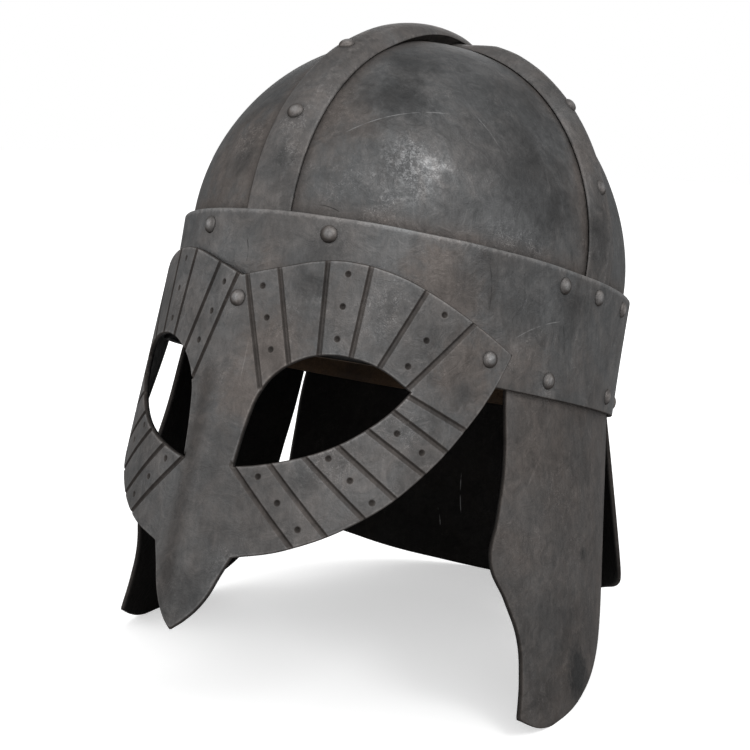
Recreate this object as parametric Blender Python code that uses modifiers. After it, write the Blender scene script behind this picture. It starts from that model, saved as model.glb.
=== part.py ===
"""Riveted iron helmet with a spectacle mask, standing on a table as it rests by itself.

Metres, +Z up. The helmet is modelled upright round the lower edge of its brow band,
facing -Y with the wearer's left at +X, and one empty then tips it back until the cheek
guards and the neck guard stand on the floor at z = 0.
"""
import math
from collections import namedtuple

import bmesh
import bpy
import numpy as np
from mathutils import Matrix, Vector

# Brow band, the hoop that carries every other plate
BAND_HALF_WIDTH = 0.098
BAND_HALF_LENGTH = 0.126
BAND_HEIGHT = 0.055
BAND_WALL = 0.0022

# Clearances between plates
GAP = 0.0003
PANEL_JOINT = 0.0006

# Dome of four panels, tucked into the band
DOME_RISE = 0.1025
PANEL_WALL = 0.0020
PANEL_TUCK = 0.020

# Straps over the joints of the panels
RIB_WALL = 0.0020
RIB_EDGE = 0.0008
RIB_FORE_AFT_WIDTH = 0.0215
RIB_FORE_AFT_RISE = 0.0086
RIB_LATERAL_WIDTH = 0.0240
RIB_LATERAL_RISE = 0.0060
RIB_LATERAL_SET = 0.0045
RIB_ARCH_HALF_LENGTH = 0.070
CROSSING_WAY = 0.9

# Spectacle mask over the front of the band
MASK_WALL = 0.0025
MASK_TOP = 0.038
MASK_DROP = 0.1125
MASK_LEAN = 0.060
MASK_SIDE_LEAN = 0.015
MASK_RIDGE_HEIGHT = 0.0022
MASK_RIDGE_SPREAD = 6.0
GROOVE_WIDTH = 0.0021
GROOVE_DEPTH = 0.0007
GROOVE_OVERRUN = 0.0012
GROOVE_SECTIONS = 4

# Cheek guards and neck guard, tucked behind the band
GUARD_TUCK = 0.018
CHEEK_WALL = 0.0025
CHEEK_DROP = 0.1343
CHEEK_FLARE = 0.131
NECK_WALL = 0.0025
NECK_DROP = 0.0920
NECK_FLARE = 0.260

# Leather strip inside the band
LINING_WALL = 0.0020
LINING_HEIGHT = 0.040

# Rivets
RIVET_HEAD_RADIUS = 0.0033
RIVET_HEAD_HEIGHT = 0.0028
RIVET_SHANK_RADIUS = 0.0018
RIVET_TAIL = 0.0004
RIVET_TOP_MARGIN = 0.0074
RIVET_LOW_MARGIN = 0.0073

# Worn flats that the helmet stands on
STAND_FLAT = 0.0006

# Facets, in degrees round the band and over the dome, and in metres down a plate
HOOP_STEP = 7.5
RIDGE_STEPS = (-5.0, -2.5, 2.5, 5.0)
DOME_STEP = 9.0
SHEET_STEP = 0.045
OUTLINE_STEPS = 2
RIVET_SIDES = 8
HOLE_SIDES = 6
HOLE_TURN = 15.0

# Materials: colour, roughness and metallic value
IRON_BAND = ("iron_band", (0.115, 0.112, 0.110), 0.52, 0.85)
IRON_DOME = ("iron_dome", (0.105, 0.105, 0.105), 0.48, 0.85)
IRON_RIB = ("iron_rib", (0.125, 0.118, 0.112), 0.50, 0.85)
IRON_MASK = ("iron_mask", (0.110, 0.107, 0.105), 0.50, 0.85)
IRON_GUARD = ("iron_guard", (0.090, 0.088, 0.087), 0.55, 0.85)
IRON_RIVET = ("iron_rivet", (0.160, 0.155, 0.150), 0.42, 0.85)
LEATHER = ("leather_lining", (0.085, 0.050, 0.028), 0.80, 0.0)

# Outline points: degrees round the band from the front, height as a share of the size
# that the table follows, and whether the outline turns a sharp corner there.
Mark = namedtuple("Mark", "angle height corner")

# Shares of MASK_TOP above the band's lower edge and of MASK_DROP below it, one half
MASK_OUTLINE = (
    Mark(0.0, 0.718, True),
    Mark(8.2, 0.842, False),
    Mark(18.7, 0.978, False),
    Mark(24.5, 1.000, False),
    Mark(33.9, 0.942, False),
    Mark(40.1, 0.847, False),
    Mark(51.0, 0.613, False),
    Mark(60.7, 0.370, True),
    Mark(57.7, -0.007, False),
    Mark(52.6, -0.165, False),
    Mark(45.1, -0.344, False),
    Mark(34.8, -0.520, False),
    Mark(20.5, -0.667, False),
    Mark(10.0, -0.724, True),
    Mark(8.6, -0.780, False),
    Mark(5.8, -0.892, False),
    Mark(2.6, -0.962, False),
    Mark(0.0, -1.000, True),
)
EYE_OUTLINE = (
    Mark(6.6, -0.419, True),
    Mark(7.7, -0.262, False),
    Mark(9.4, -0.151, False),
    Mark(12.4, -0.077, False),
    Mark(16.6, -0.025, False),
    Mark(21.0, 0.008, False),
    Mark(27.1, 0.028, False),
    Mark(33.2, -0.012, False),
    Mark(39.8, -0.071, True),
    Mark(36.6, -0.146, False),
    Mark(32.2, -0.222, False),
    Mark(26.9, -0.292, False),
    Mark(20.6, -0.348, False),
    Mark(12.0, -0.398, False),
)

# Grooves from the eye to the rim, above and below it, one half
Groove = namedtuple("Groove", "eye_angle eye_height rim_angle rim_height")
MASK_GROOVES = (
    Groove(9.1, -0.133, 1.2, 0.736),
    Groove(14.3, -0.034, 8.2, 0.842),
    Groove(20.4, 0.008, 18.7, 0.978),
    Groove(26.9, 0.028, 27.9, 0.990),
    Groove(32.7, -0.010, 40.0, 0.847),
    Groove(39.4, -0.052, 51.0, 0.613),
    Groove(39.3, -0.085, 52.2, -0.168),
    Groove(36.7, -0.144, 49.0, -0.254),
    Groove(32.3, -0.221, 45.0, -0.343),
    Groove(27.1, -0.291, 39.8, -0.437),
    Groove(21.0, -0.346, 34.6, -0.522),
    Groove(14.2, -0.388, 27.8, -0.597),
    Groove(6.7, -0.420, 21.8, -0.655),
)

# Shares of GUARD_TUCK above the band's lower edge and of the guard's drop below it
CHEEK_OUTLINE = (
    Mark(62.5, 1.000, True),
    Mark(62.6, 0.000, False),
    Mark(64.0, -0.223, False),
    Mark(63.3, -0.385, False),
    Mark(62.5, -0.514, False),
    Mark(67.3, -0.628, False),
    Mark(71.3, -0.737, False),
    Mark(72.6, -0.850, False),
    Mark(72.6, -0.972, True),
    Mark(79.5, -1.000, False),
    Mark(87.0, -0.976, False),
    Mark(96.0, -0.916, False),
    Mark(104.0, -0.833, False),
    Mark(109.5, -0.730, False),
    Mark(112.5, -0.596, False),
    Mark(112.6, -0.372, False),
    Mark(113.4, -0.127, False),
    Mark(113.5, 1.000, True),
)
NECK_OUTLINE = (
    Mark(114.7, 1.000, True),
    Mark(114.7, -0.060, False),
    Mark(116.5, -0.359, False),
    Mark(117.6, -0.540, False),
    Mark(118.8, -0.710, False),
    Mark(121.5, -0.815, False),
    Mark(127.0, -0.870, False),
    Mark(137.0, -0.915, False),
    Mark(150.0, -0.968, False),
    Mark(165.0, -0.993, False),
    Mark(173.0, -0.999, False),
    Mark(180.0, -1.000, True),
    Mark(180.0, 1.000, True),
)

# Rise of a strap's crest, as shares of the way from the band to the crown and of its full rise
Rise = namedtuple("Rise", "way height")
FORE_AFT_RISES = (
    Rise(0.00, 0.00),
    Rise(0.27, 0.30),
    Rise(0.47, 0.54),
    Rise(0.60, 0.57),
    Rise(0.73, 0.69),
    Rise(0.83, 0.80),
    Rise(0.92, 0.89),
    Rise(1.00, 1.00),
)
LATERAL_RISES = (
    Rise(0.00, 0.00),
    Rise(0.24, 0.30),
    Rise(0.49, 0.65),
    Rise(0.66, 0.93),
    Rise(0.75, 1.00),
    Rise(0.82, 0.92),
    Rise(0.87, 0.62),
    Rise(0.90, 0.45),
    Rise(1.00, 0.40),
)

# Rivets round the band in degrees, mirrored to the other side, and along the straps
BAND_TOP_RIVETS = (17.4, 73.5, 86.5, 102.1, 133.0, 162.6)
CHEEK_RIVETS = (73.0, 101.0)
NECK_RIVETS = (125.0, 152.0, 180.0)
TEMPLE_RIVET = Mark(55.4, 0.276, False)
NOSE_RIVET = Mark(0.0, 0.468, False)
RIB_RIVET_WAYS = (0.26, 0.52)

FLAT_RADIUS = (BAND_HALF_WIDTH + BAND_HALF_LENGTH) / 2

# What lies inside what, as growths of the band's outer ellipse
GUARD_GROW = -BAND_WALL - GAP
RIB_FOOT_GROW = -BAND_WALL - GAP
PANEL_GROW = RIB_FOOT_GROW - RIB_EDGE - GAP
DOME_HALF_WIDTH = BAND_HALF_WIDTH + PANEL_GROW
DOME_HALF_LENGTH = BAND_HALF_LENGTH + PANEL_GROW
PANEL_INNER_GROW = PANEL_GROW - PANEL_WALL
GUARD_INNER_GROW = GUARD_GROW - max(CHEEK_WALL, NECK_WALL)
LINING_GROW = min(PANEL_INNER_GROW, GUARD_INNER_GROW) - RIVET_TAIL - GAP


def clear_scene():
    for obj in list(bpy.data.objects):
        bpy.data.objects.remove(obj)


def make_material(name, colour, roughness, metallic):
    material = bpy.data.materials.get(name)
    if material is None:
        material = bpy.data.materials.new(name)
        material.use_nodes = True
        shader = material.node_tree.nodes["Principled BSDF"]
        shader.inputs["Base Color"].default_value = (*colour, 1.0)
        shader.inputs["Roughness"].default_value = roughness
        shader.inputs["Metallic"].default_value = metallic
    return material


def make_collection(name):
    collection = bpy.data.collections.new(name)
    bpy.context.scene.collection.children.link(collection)
    return collection


def add_piece(name, mesh, finish=None):
    """One part under the empty, or a hidden cutter where it has no finish."""
    obj = bpy.data.objects.new(name, mesh)
    obj.parent = POSE
    if finish is None:
        CUTTERS.objects.link(obj)
        obj.hide_render = True
        obj.display_type = "WIRE"
    else:
        PARTS.objects.link(obj)
        mesh.materials.append(make_material(*finish))
        mesh.shade_smooth()
        mesh.set_sharp_from_angle(angle=math.radians(35))
    return obj


def mesh_from(bm, name):
    mesh = bpy.data.meshes.new(name)
    bm.to_mesh(mesh)
    bm.free()
    return mesh


def smoothstep(value):
    value = min(max(value, 0.0), 1.0)
    return value * value * (3 - 2 * value)


def on_hoop(angle, height, grow):
    """Point on the band's ellipse grown by a distance, the angle in degrees from the front."""
    turn = math.radians(angle)
    across = (BAND_HALF_WIDTH + grow) * math.sin(turn)
    along = -(BAND_HALF_LENGTH + grow) * math.cos(turn)
    return Vector((across, along, height))


def hoop_normal(angle, grow):
    turn = math.radians(angle)
    across = math.sin(turn) / (BAND_HALF_WIDTH + grow)
    along = -math.cos(turn) / (BAND_HALF_LENGTH + grow)
    return Vector((across, along, 0)).normalized()


def mask_grow(angle, height):
    """How far the mask's outer face stands off the band: it leans out below its top edge."""
    side = smoothstep((abs(angle) - 35) / 25)
    lean = MASK_LEAN + (MASK_SIDE_LEAN - MASK_LEAN) * side
    ridge = MASK_RIDGE_HEIGHT * math.exp(-(angle / MASK_RIDGE_SPREAD) ** 2)
    return 2 * GAP + MASK_WALL + ridge + lean * (MASK_TOP - height)


def place_on_mask(angle, height, out=0.0):
    return on_hoop(angle, height, mask_grow(angle, height) + out)


def guard_place(flare):
    """Where a guard's outer face lies: upright behind the band and flared below it."""
    def place(angle, height):
        return on_hoop(angle, height, GUARD_GROW + flare * max(0.0, -height))
    return place


def flat_blank(name, outlines):
    """Flat sheet cut to its outline and holes, x an arc round the hoop and y a height."""
    curve = bpy.data.curves.new(name, "CURVE")
    curve.dimensions = "2D"
    curve.fill_mode = "BOTH"
    curve.resolution_u = OUTLINE_STEPS
    for outline in outlines:
        spline = curve.splines.new("BEZIER")
        spline.bezier_points.add(len(outline) - 1)
        spline.use_cyclic_u = True
        for point, (angle, height, corner) in zip(spline.bezier_points, outline):
            point.co = (math.radians(angle) * FLAT_RADIUS, height, 0)
            kind = "VECTOR" if corner else "AUTO"
            point.handle_left_type = kind
            point.handle_right_type = kind
    holder = bpy.data.objects.new(name, curve)
    bpy.context.scene.collection.objects.link(holder)
    depsgraph = bpy.context.evaluated_depsgraph_get()
    mesh = bpy.data.meshes.new_from_object(holder.evaluated_get(depsgraph))
    bpy.data.objects.remove(holder)
    return mesh


def cut_lines(bm, axis, step, extra=()):
    """Split the flat sheet along lines a step apart and any extra ones, to bend it there."""
    places = [vert.co[axis] for vert in bm.verts]
    normal = Vector((0, 0, 0))
    normal[axis] = 1
    first = math.ceil(min(places) / step)
    last = math.floor(max(places) / step)
    for line in [step * index for index in range(first, last + 1)] + list(extra):
        geometry = bm.verts[:] + bm.edges[:] + bm.faces[:]
        bmesh.ops.bisect_plane(bm, geom=geometry, dist=1e-6, plane_co=normal * line, plane_no=normal)


def bent_sheet(name, outlines, place, extra_angles=(), flip=False):
    """Cut a blank, crease it along the facet lines and bend it to its place."""
    blank = flat_blank(name, outlines)
    bm = bmesh.new()
    bm.from_mesh(blank)
    bmesh.ops.remove_doubles(bm, verts=bm.verts[:], dist=1e-6)
    degree = math.radians(1) * FLAT_RADIUS
    cut_lines(bm, 0, HOOP_STEP * degree, [angle * degree for angle in extra_angles])
    cut_lines(bm, 1, SHEET_STEP)
    loose = []
    for edge in bm.edges:
        run = edge.verts[1].co - edge.verts[0].co
        if len(edge.link_faces) == 2 and min(abs(run.x), abs(run.y)) > 1e-6:
            loose.append(edge)
    bmesh.ops.dissolve_edges(bm, edges=loose, use_verts=False)
    spare = [vert for vert in bm.verts if not vert.is_boundary and len(vert.link_edges) == 2]
    bmesh.ops.dissolve_verts(bm, verts=spare)
    bmesh.ops.triangulate(bm, faces=bm.faces[:])
    for vert in bm.verts:
        point = place(math.degrees(vert.co.x / FLAT_RADIUS), vert.co.y)
        vert.co = (-point.x, point.y, point.z) if flip else point
    bm.normal_update()
    outward = sum(face.normal.dot(face.calc_center_median()) for face in bm.faces)
    if outward < 0:
        bmesh.ops.reverse_faces(bm, faces=bm.faces[:])
    return mesh_from(bm, name)


def thicken(obj, wall):
    solidify = obj.modifiers.new("wall", "SOLIDIFY")
    solidify.thickness = wall
    solidify.offset = -1
    solidify.use_even_offset = True


def mirror(obj):
    """Add the other half to a sheet that is open at the middle plane."""
    modifier = obj.modifiers.new("other_half", "MIRROR")
    modifier.use_axis[0] = True
    modifier.merge_threshold = 0.00001


def subtract(obj, cutter):
    boolean = obj.modifiers.new(cutter.name, "BOOLEAN")
    boolean.operation = "DIFFERENCE"
    boolean.solver = "EXACT"
    boolean.object = cutter


def scaled(table, top, drop):
    """Outline points in degrees and metres."""
    return [(mark.angle, mark.height * (top if mark.height > 0 else drop), mark.corner) for mark in table]


def make_hoop(name, finish, grow, wall, height):
    """Upright elliptical hoop: an open tube drawn to the ellipse, with its wall inwards."""
    bm = bmesh.new()
    sides = round(360 / HOOP_STEP)
    bmesh.ops.create_cone(bm, cap_ends=False, segments=sides, radius1=1, radius2=1, depth=1)
    for vert in bm.verts:
        vert.co.x *= BAND_HALF_WIDTH + grow
        vert.co.y *= BAND_HALF_LENGTH + grow
        vert.co.z = (vert.co.z + 0.5) * height
    obj = add_piece(name, mesh_from(bm, name), finish)
    thicken(obj, wall)
    return obj


def make_panel(name, side, end):
    """Quarter of a half ellipsoid with a straight skirt; side and end are its signs in x and y."""
    bm = bmesh.new()
    turns = round(360 / DOME_STEP)
    bmesh.ops.create_uvsphere(bm, u_segments=turns, v_segments=turns // 2, radius=1)
    low = [vert for vert in bm.verts if vert.co.z < -1e-4]
    bmesh.ops.delete(bm, geom=low, context="VERTS")
    for vert in bm.verts:
        vert.co.x *= DOME_HALF_WIDTH
        vert.co.y *= DOME_HALF_LENGTH
        vert.co.z = BAND_HEIGHT + vert.co.z * DOME_RISE
    rim = [edge for edge in bm.edges if edge.is_boundary]
    skirt = bmesh.ops.extrude_edge_only(bm, edges=rim)["geom"]
    for vert in skirt:
        if isinstance(vert, bmesh.types.BMVert):
            vert.co.z = BAND_HEIGHT - PANEL_TUCK
    joints = (
        (Vector((side * PANEL_JOINT / 2, 0, 0)), Vector((side, 0, 0))),
        (Vector((0, -RIB_LATERAL_SET + end * PANEL_JOINT / 2, 0)), Vector((0, end, 0))),
    )
    for place, normal in joints:
        geometry = bm.verts[:] + bm.edges[:] + bm.faces[:]
        bmesh.ops.bisect_plane(
            bm, geom=geometry, dist=1e-7, plane_co=place, plane_no=normal, clear_inner=True)
    bmesh.ops.recalc_face_normals(bm, faces=bm.faces[:])
    outward = sum(face.normal.dot(face.calc_center_median()) for face in bm.faces)
    if outward < 0:
        bmesh.ops.reverse_faces(bm, faces=bm.faces[:])
    obj = add_piece(name, mesh_from(bm, name), IRON_DOME)
    thicken(obj, PANEL_WALL)
    return obj


def dome_point(turn, across, lateral):
    """Point and outward normal on the dome, under a strap.

    The turn runs over the crown in degrees from one foot to the other, and across is the
    distance from the strap's middle. A negative turn is a length down the skirt.
    """
    half_run = DOME_HALF_WIDTH if lateral else DOME_HALF_LENGTH
    half_side = DOME_HALF_LENGTH if lateral else DOME_HALF_WIDTH
    shift = across - RIB_LATERAL_SET if lateral else across
    shrink = math.sqrt(1 - (shift / half_side) ** 2)
    angle = math.radians(min(max(turn, 0.0), 180.0))
    along = -half_run * shrink * math.cos(angle)
    rise = DOME_RISE * shrink * math.sin(angle)
    normal = Vector((shift / half_side ** 2, along / half_run ** 2, rise / DOME_RISE ** 2)).normalized()
    point = Vector((shift, along, BAND_HEIGHT + rise))
    if lateral:
        return Vector((-point.y, point.x, point.z)), Vector((-normal.y, normal.x, normal.z))
    return point, normal


def rib_rise(way, lateral):
    table = LATERAL_RISES if lateral else FORE_AFT_RISES
    full_rise = RIB_LATERAL_RISE if lateral else RIB_FORE_AFT_RISE
    return full_rise * float(np.interp(way, [row.way for row in table], [row.height for row in table]))


def rib_lift(turn, lateral):
    """Height of a strap's edges over the dome: the fore-aft one arches over the other."""
    if lateral:
        return GAP
    plateau = RIB_LATERAL_WIDTH / 2
    along = abs(-DOME_HALF_LENGTH * math.cos(math.radians(turn)) + RIB_LATERAL_SET)
    arch = 1 - smoothstep((along - plateau) / (RIB_ARCH_HALF_LENGTH - plateau))
    return GAP + (RIB_EDGE + rib_rise(CROSSING_WAY, lateral=True) + GAP) * arch


def rib_heights(turn, share, lateral):
    """Inner and outer height of a strap over the dome, share running from 0 in its middle to 1."""
    lift = rib_lift(turn, lateral)
    crown = rib_rise(min(turn, 180 - turn) / 90, lateral) - (lift - GAP)
    outer = lift + RIB_EDGE + max(crown, 0.0) * (1 - share ** 2)
    inner = max(lift, outer - RIB_WALL)
    return inner, outer


def rib_section(turn, lateral, sink=0.0):
    width = RIB_LATERAL_WIDTH if lateral else RIB_FORE_AFT_WIDTH
    ring = []
    for row, shares in ((1, (-1, -0.5, 0, 0.5, 1)), (0, (1, 0.5, 0, -0.5, -1))):
        for share in shares:
            point, normal = dome_point(turn, share * width / 2, lateral)
            lift = rib_heights(turn, abs(share), lateral)[row]
            ring.append(point + normal * lift - Vector((0, 0, sink)))
    return ring


def loft(bm, rings, closed_ends=True):
    """Skin rings of equal length, in order."""
    rows = [[bm.verts.new(point) for point in ring] for ring in rings]
    count = len(rings[0])
    for lower, upper in zip(rows, rows[1:]):
        for index in range(count):
            following = (index + 1) % count
            bm.faces.new((lower[index], lower[following], upper[following], upper[index]))
    if closed_ends:
        bm.faces.new(rows[0][::-1])
        bm.faces.new(rows[-1])


def make_rib(name, lateral):
    """Crowned strap over the dome from one side of the band to the other."""
    turns = np.arange(0, 180 + DOME_STEP / 2, DOME_STEP)
    rings = [rib_section(0, lateral, sink=PANEL_TUCK)]
    rings += [rib_section(turn, lateral) for turn in turns]
    rings += [rib_section(180, lateral, sink=PANEL_TUCK)]
    bm = bmesh.new()
    loft(bm, rings)
    bmesh.ops.recalc_face_normals(bm, faces=bm.faces[:])
    bmesh.ops.triangulate(bm, faces=bm.faces[:])
    return add_piece(name, mesh_from(bm, name), IRON_RIB)


def mask_height(share):
    return share * (MASK_TOP if share > 0 else MASK_DROP)


def groove_rings(groove, sign):
    """Sections of the bar that cuts one groove, a little past the eye and the rim."""
    start = Vector((math.radians(groove.eye_angle) * FLAT_RADIUS, mask_height(groove.eye_height)))
    end = Vector((math.radians(groove.rim_angle) * FLAT_RADIUS, mask_height(groove.rim_height)))
    along = (end - start).normalized()
    run = along * GROOVE_OVERRUN
    side = Vector((-along.y, along.x)) * GROOVE_WIDTH / 2
    rings = []
    for share in np.linspace(0, 1, GROOVE_SECTIONS):
        middle = (start - run).lerp(end + run, share)
        ring = []
        for way, out in ((-1, -GROOVE_DEPTH), (1, -GROOVE_DEPTH), (1, GROOVE_WIDTH), (-1, GROOVE_WIDTH)):
            corner = middle + side * way
            ring.append(place_on_mask(sign * math.degrees(corner.x / FLAT_RADIUS), corner.y, out))
        rings.append(ring)
    return rings


def make_engraving():
    """Cutter for the grooves on both sides of the mask."""
    bm = bmesh.new()
    for sign in (1, -1):
        for groove in MASK_GROOVES:
            loft(bm, groove_rings(groove, sign))
    bmesh.ops.recalc_face_normals(bm, faces=bm.faces[:])
    return add_piece("mask_grooves", mesh_from(bm, "mask_grooves"))


def make_mask():
    outlines = [scaled(table, MASK_TOP, MASK_DROP) for table in (MASK_OUTLINE, EYE_OUTLINE)]
    mesh = bent_sheet("spectacle_mask", outlines, place_on_mask, RIDGE_STEPS)
    obj = add_piece("spectacle_mask", mesh, IRON_MASK)
    mirror(obj)
    thicken(obj, MASK_WALL)
    subtract(obj, make_engraving())
    return obj


def make_cheek_guard(name, flip):
    outline = scaled(CHEEK_OUTLINE, GUARD_TUCK, CHEEK_DROP)
    mesh = bent_sheet(name, [outline], guard_place(CHEEK_FLARE), flip=flip)
    obj = add_piece(name, mesh, IRON_GUARD)
    thicken(obj, CHEEK_WALL)
    return obj


def make_neck_guard():
    outline = scaled(NECK_OUTLINE, GUARD_TUCK, NECK_DROP)
    mesh = bent_sheet("neck_guard", [outline], guard_place(NECK_FLARE))
    obj = add_piece("neck_guard", mesh, IRON_GUARD)
    mirror(obj)
    thicken(obj, NECK_WALL)
    return obj


def rivet_mesh(grip):
    """Half outline of a domed rivet, from its crown down to its tail, for turning."""
    bm = bmesh.new()
    seat = GAP
    profile = (
        (0, seat + RIVET_HEAD_HEIGHT),
        (RIVET_HEAD_RADIUS * 0.68, seat + RIVET_HEAD_HEIGHT * 0.74),
        (RIVET_HEAD_RADIUS, seat),
        (RIVET_SHANK_RADIUS, seat),
        (RIVET_SHANK_RADIUS, -grip),
        (0, -grip),
    )
    verts = [bm.verts.new((across, 0, up)) for across, up in profile]
    for pair in zip(verts, verts[1:]):
        bm.edges.new(pair)
    return mesh_from(bm, "rivet")


def add_rivet(name, point, normal, grip):
    """Domed rivet standing on a plate, its shank through the plates below."""
    obj = add_piece(name, rivet_mesh(grip), IRON_RIVET)
    obj.location = point
    obj.rotation_euler = normal.to_track_quat("Z", "Y").to_euler()
    screw = obj.modifiers.new("turn", "SCREW")
    screw.axis = "Z"
    screw.angle = math.radians(360)
    screw.steps = RIVET_SIDES
    screw.render_steps = RIVET_SIDES
    screw.use_merge_vertices = True
    screw.merge_threshold = 0.00001
    return obj


def drill(obj, seats):
    """Holes for the shanks of the rivets that pass through a plate."""
    bm = bmesh.new()
    for point, normal, grip in seats:
        turn = normal.to_track_quat("Z", "Y").to_matrix().to_4x4()
        spin = Matrix.Rotation(math.radians(HOLE_TURN), 4, "Z")
        matrix = Matrix.Translation(point - normal * grip / 2) @ turn @ spin
        radius = (RIVET_SHANK_RADIUS + GAP) / math.cos(math.pi / HOLE_SIDES)
        bmesh.ops.create_cone(bm, cap_ends=True, segments=HOLE_SIDES, radius1=radius, radius2=radius,
                              depth=grip + 2 * RIVET_HEAD_RADIUS, matrix=matrix)
    subtract(obj, add_piece(obj.name + "_holes", mesh_from(bm, obj.name + "_holes")))


def hoop_seats(angles, height, grow, grip):
    """Rivet seats on both sides of a hoop at one height; one on the middle plane stays single."""
    seats = []
    for angle in angles:
        for sign in (1, -1):
            if angle % 180 == 0 and sign < 0:
                continue
            turn = angle * sign
            seats.append((on_hoop(turn, height, grow), hoop_normal(turn, grow), grip))
    return seats


def mask_seats():
    seats = []
    for mark, signs in ((NOSE_RIVET, (1,)), (TEMPLE_RIVET, (1, -1))):
        height = mask_height(mark.height)
        for sign in signs:
            grow = mask_grow(mark.angle, height)
            grip = grow + BAND_WALL + RIVET_TAIL
            seats.append((place_on_mask(mark.angle * sign, height), hoop_normal(mark.angle * sign, grow), grip))
    return seats


def rib_seats(lateral):
    seats = []
    for way in RIB_RIVET_WAYS:
        for turn in (90 * way, 180 - 90 * way):
            point, normal = dome_point(turn, 0, lateral)
            height = rib_heights(turn, 0, lateral)[1]
            seats.append((point + normal * height, normal, height + PANEL_WALL + RIVET_TAIL))
    return seats


def near(seats, test):
    return [seat for seat in seats if test(seat[0])]


def lowest(points, pitch):
    return float((points[:, 2] * math.cos(pitch) - points[:, 1] * math.sin(pitch)).min())


def find_pitch(cheek, neck):
    """Angle at which cheek guards and neck guard are equally low, tipped back."""
    flat, steep = 0.0, math.radians(40)
    for _ in range(50):
        pitch = (flat + steep) / 2
        if lowest(cheek, pitch) < lowest(neck, pitch):
            flat = pitch
        else:
            steep = pitch
    return (flat + steep) / 2


def world_points(objects):
    """Corners of the finished meshes, in world coordinates."""
    bpy.context.view_layer.update()
    depsgraph = bpy.context.evaluated_depsgraph_get()
    points = []
    for obj in objects:
        evaluated = obj.evaluated_get(depsgraph)
        mesh = evaluated.to_mesh()
        points += [tuple(evaluated.matrix_world @ vert.co) for vert in mesh.vertices]
        evaluated.to_mesh_clear()
    return np.array(points)


def stand_up(cheek_guards, neck_guard):
    """Tip the helmet back onto its guards, wear flats on them and centre it on the origin."""
    pitch = find_pitch(world_points(cheek_guards), world_points([neck_guard]))
    floor = lowest(world_points(cheek_guards), pitch) + STAND_FLAT
    POSE.rotation_euler = (-pitch, 0, 0)
    POSE.location = (0, 0, -floor)
    depth = 0.02
    bm = bmesh.new()
    bmesh.ops.create_cube(bm, size=1)
    for vert in bm.verts:
        vert.co.x *= 4 * BAND_HALF_WIDTH
        vert.co.y *= 4 * BAND_HALF_LENGTH
        vert.co.z = (vert.co.z - 0.5) * depth
    cutter = add_piece("worn_flats", mesh_from(bm, "worn_flats"))
    cutter.parent = None
    for obj in (*cheek_guards, neck_guard):
        subtract(obj, cutter)
    points = world_points(PARTS.objects)
    POSE.location.y = -(points[:, 1].min() + points[:, 1].max()) / 2


def build():
    band = make_hoop("brow_band", IRON_BAND, 0.0, BAND_WALL, BAND_HEIGHT)
    make_hoop("lining_band", LEATHER, LINING_GROW, LINING_WALL, LINING_HEIGHT)
    panels = {}
    for end_name, end in (("front", -1), ("rear", 1)):
        for side_name, side in (("left", 1), ("right", -1)):
            name = "panel_" + end_name + "_" + side_name
            panels[name] = (make_panel(name, side, end), side, end)
    rib_fore_aft = make_rib("rib_fore_aft", lateral=False)
    rib_lateral = make_rib("rib_lateral", lateral=True)
    mask = make_mask()
    cheek_left = make_cheek_guard("cheek_guard_left", flip=False)
    cheek_right = make_cheek_guard("cheek_guard_right", flip=True)
    neck = make_neck_guard()

    top_grip = -PANEL_INNER_GROW + RIVET_TAIL
    seats = {
        "brow": hoop_seats(BAND_TOP_RIVETS, BAND_HEIGHT - RIVET_TOP_MARGIN, 0.0, top_grip),
        "cheek": hoop_seats(CHEEK_RIVETS, RIVET_LOW_MARGIN, 0.0, CHEEK_WALL - GUARD_GROW + RIVET_TAIL),
        "neck": hoop_seats(NECK_RIVETS, RIVET_LOW_MARGIN, 0.0, NECK_WALL - GUARD_GROW + RIVET_TAIL),
        "mask": mask_seats(),
        "fore_aft": rib_seats(lateral=False),
        "lateral": rib_seats(lateral=True),
    }
    for group, rows in seats.items():
        for index, (point, normal, grip) in enumerate(rows, 1):
            add_rivet("rivet_" + group + "_" + str(index), point, normal, grip)

    stand_up((cheek_left, cheek_right), neck)
    drill(band, seats["brow"] + seats["cheek"] + seats["neck"] + seats["mask"])
    drill(mask, seats["mask"])
    drill(rib_fore_aft, seats["fore_aft"])
    reach = RIB_LATERAL_WIDTH
    drill(rib_lateral, seats["lateral"] + near(seats["brow"], lambda p: abs(p.y + RIB_LATERAL_SET) < reach / 2))
    drill(cheek_left, near(seats["cheek"], lambda p: p.x > 0))
    drill(cheek_right, near(seats["cheek"], lambda p: p.x < 0))
    drill(neck, seats["neck"])
    everywhere = seats["brow"] + seats["fore_aft"] + seats["lateral"]
    for panel, side, end in panels.values():
        reach_x = -RIVET_HEAD_RADIUS
        drill(panel, near(everywhere, lambda p: p.x * side > reach_x
                          and (p.y + RIB_LATERAL_SET) * end > reach_x))


clear_scene()
PARTS = make_collection("norse_iron_helmet")
CUTTERS = make_collection("cutters")
POSE = bpy.data.objects.new("resting_pose", None)
bpy.context.scene.collection.objects.link(POSE)
build()
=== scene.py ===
"""Looks of the riveted iron helmet: smooth forged plates, engraved mask, rivets and lining."""

import math

import bpy
import numpy as np
from mathutils import Matrix, Vector, noise
from mathutils.geometry import delaunay_2d_cdt


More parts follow.
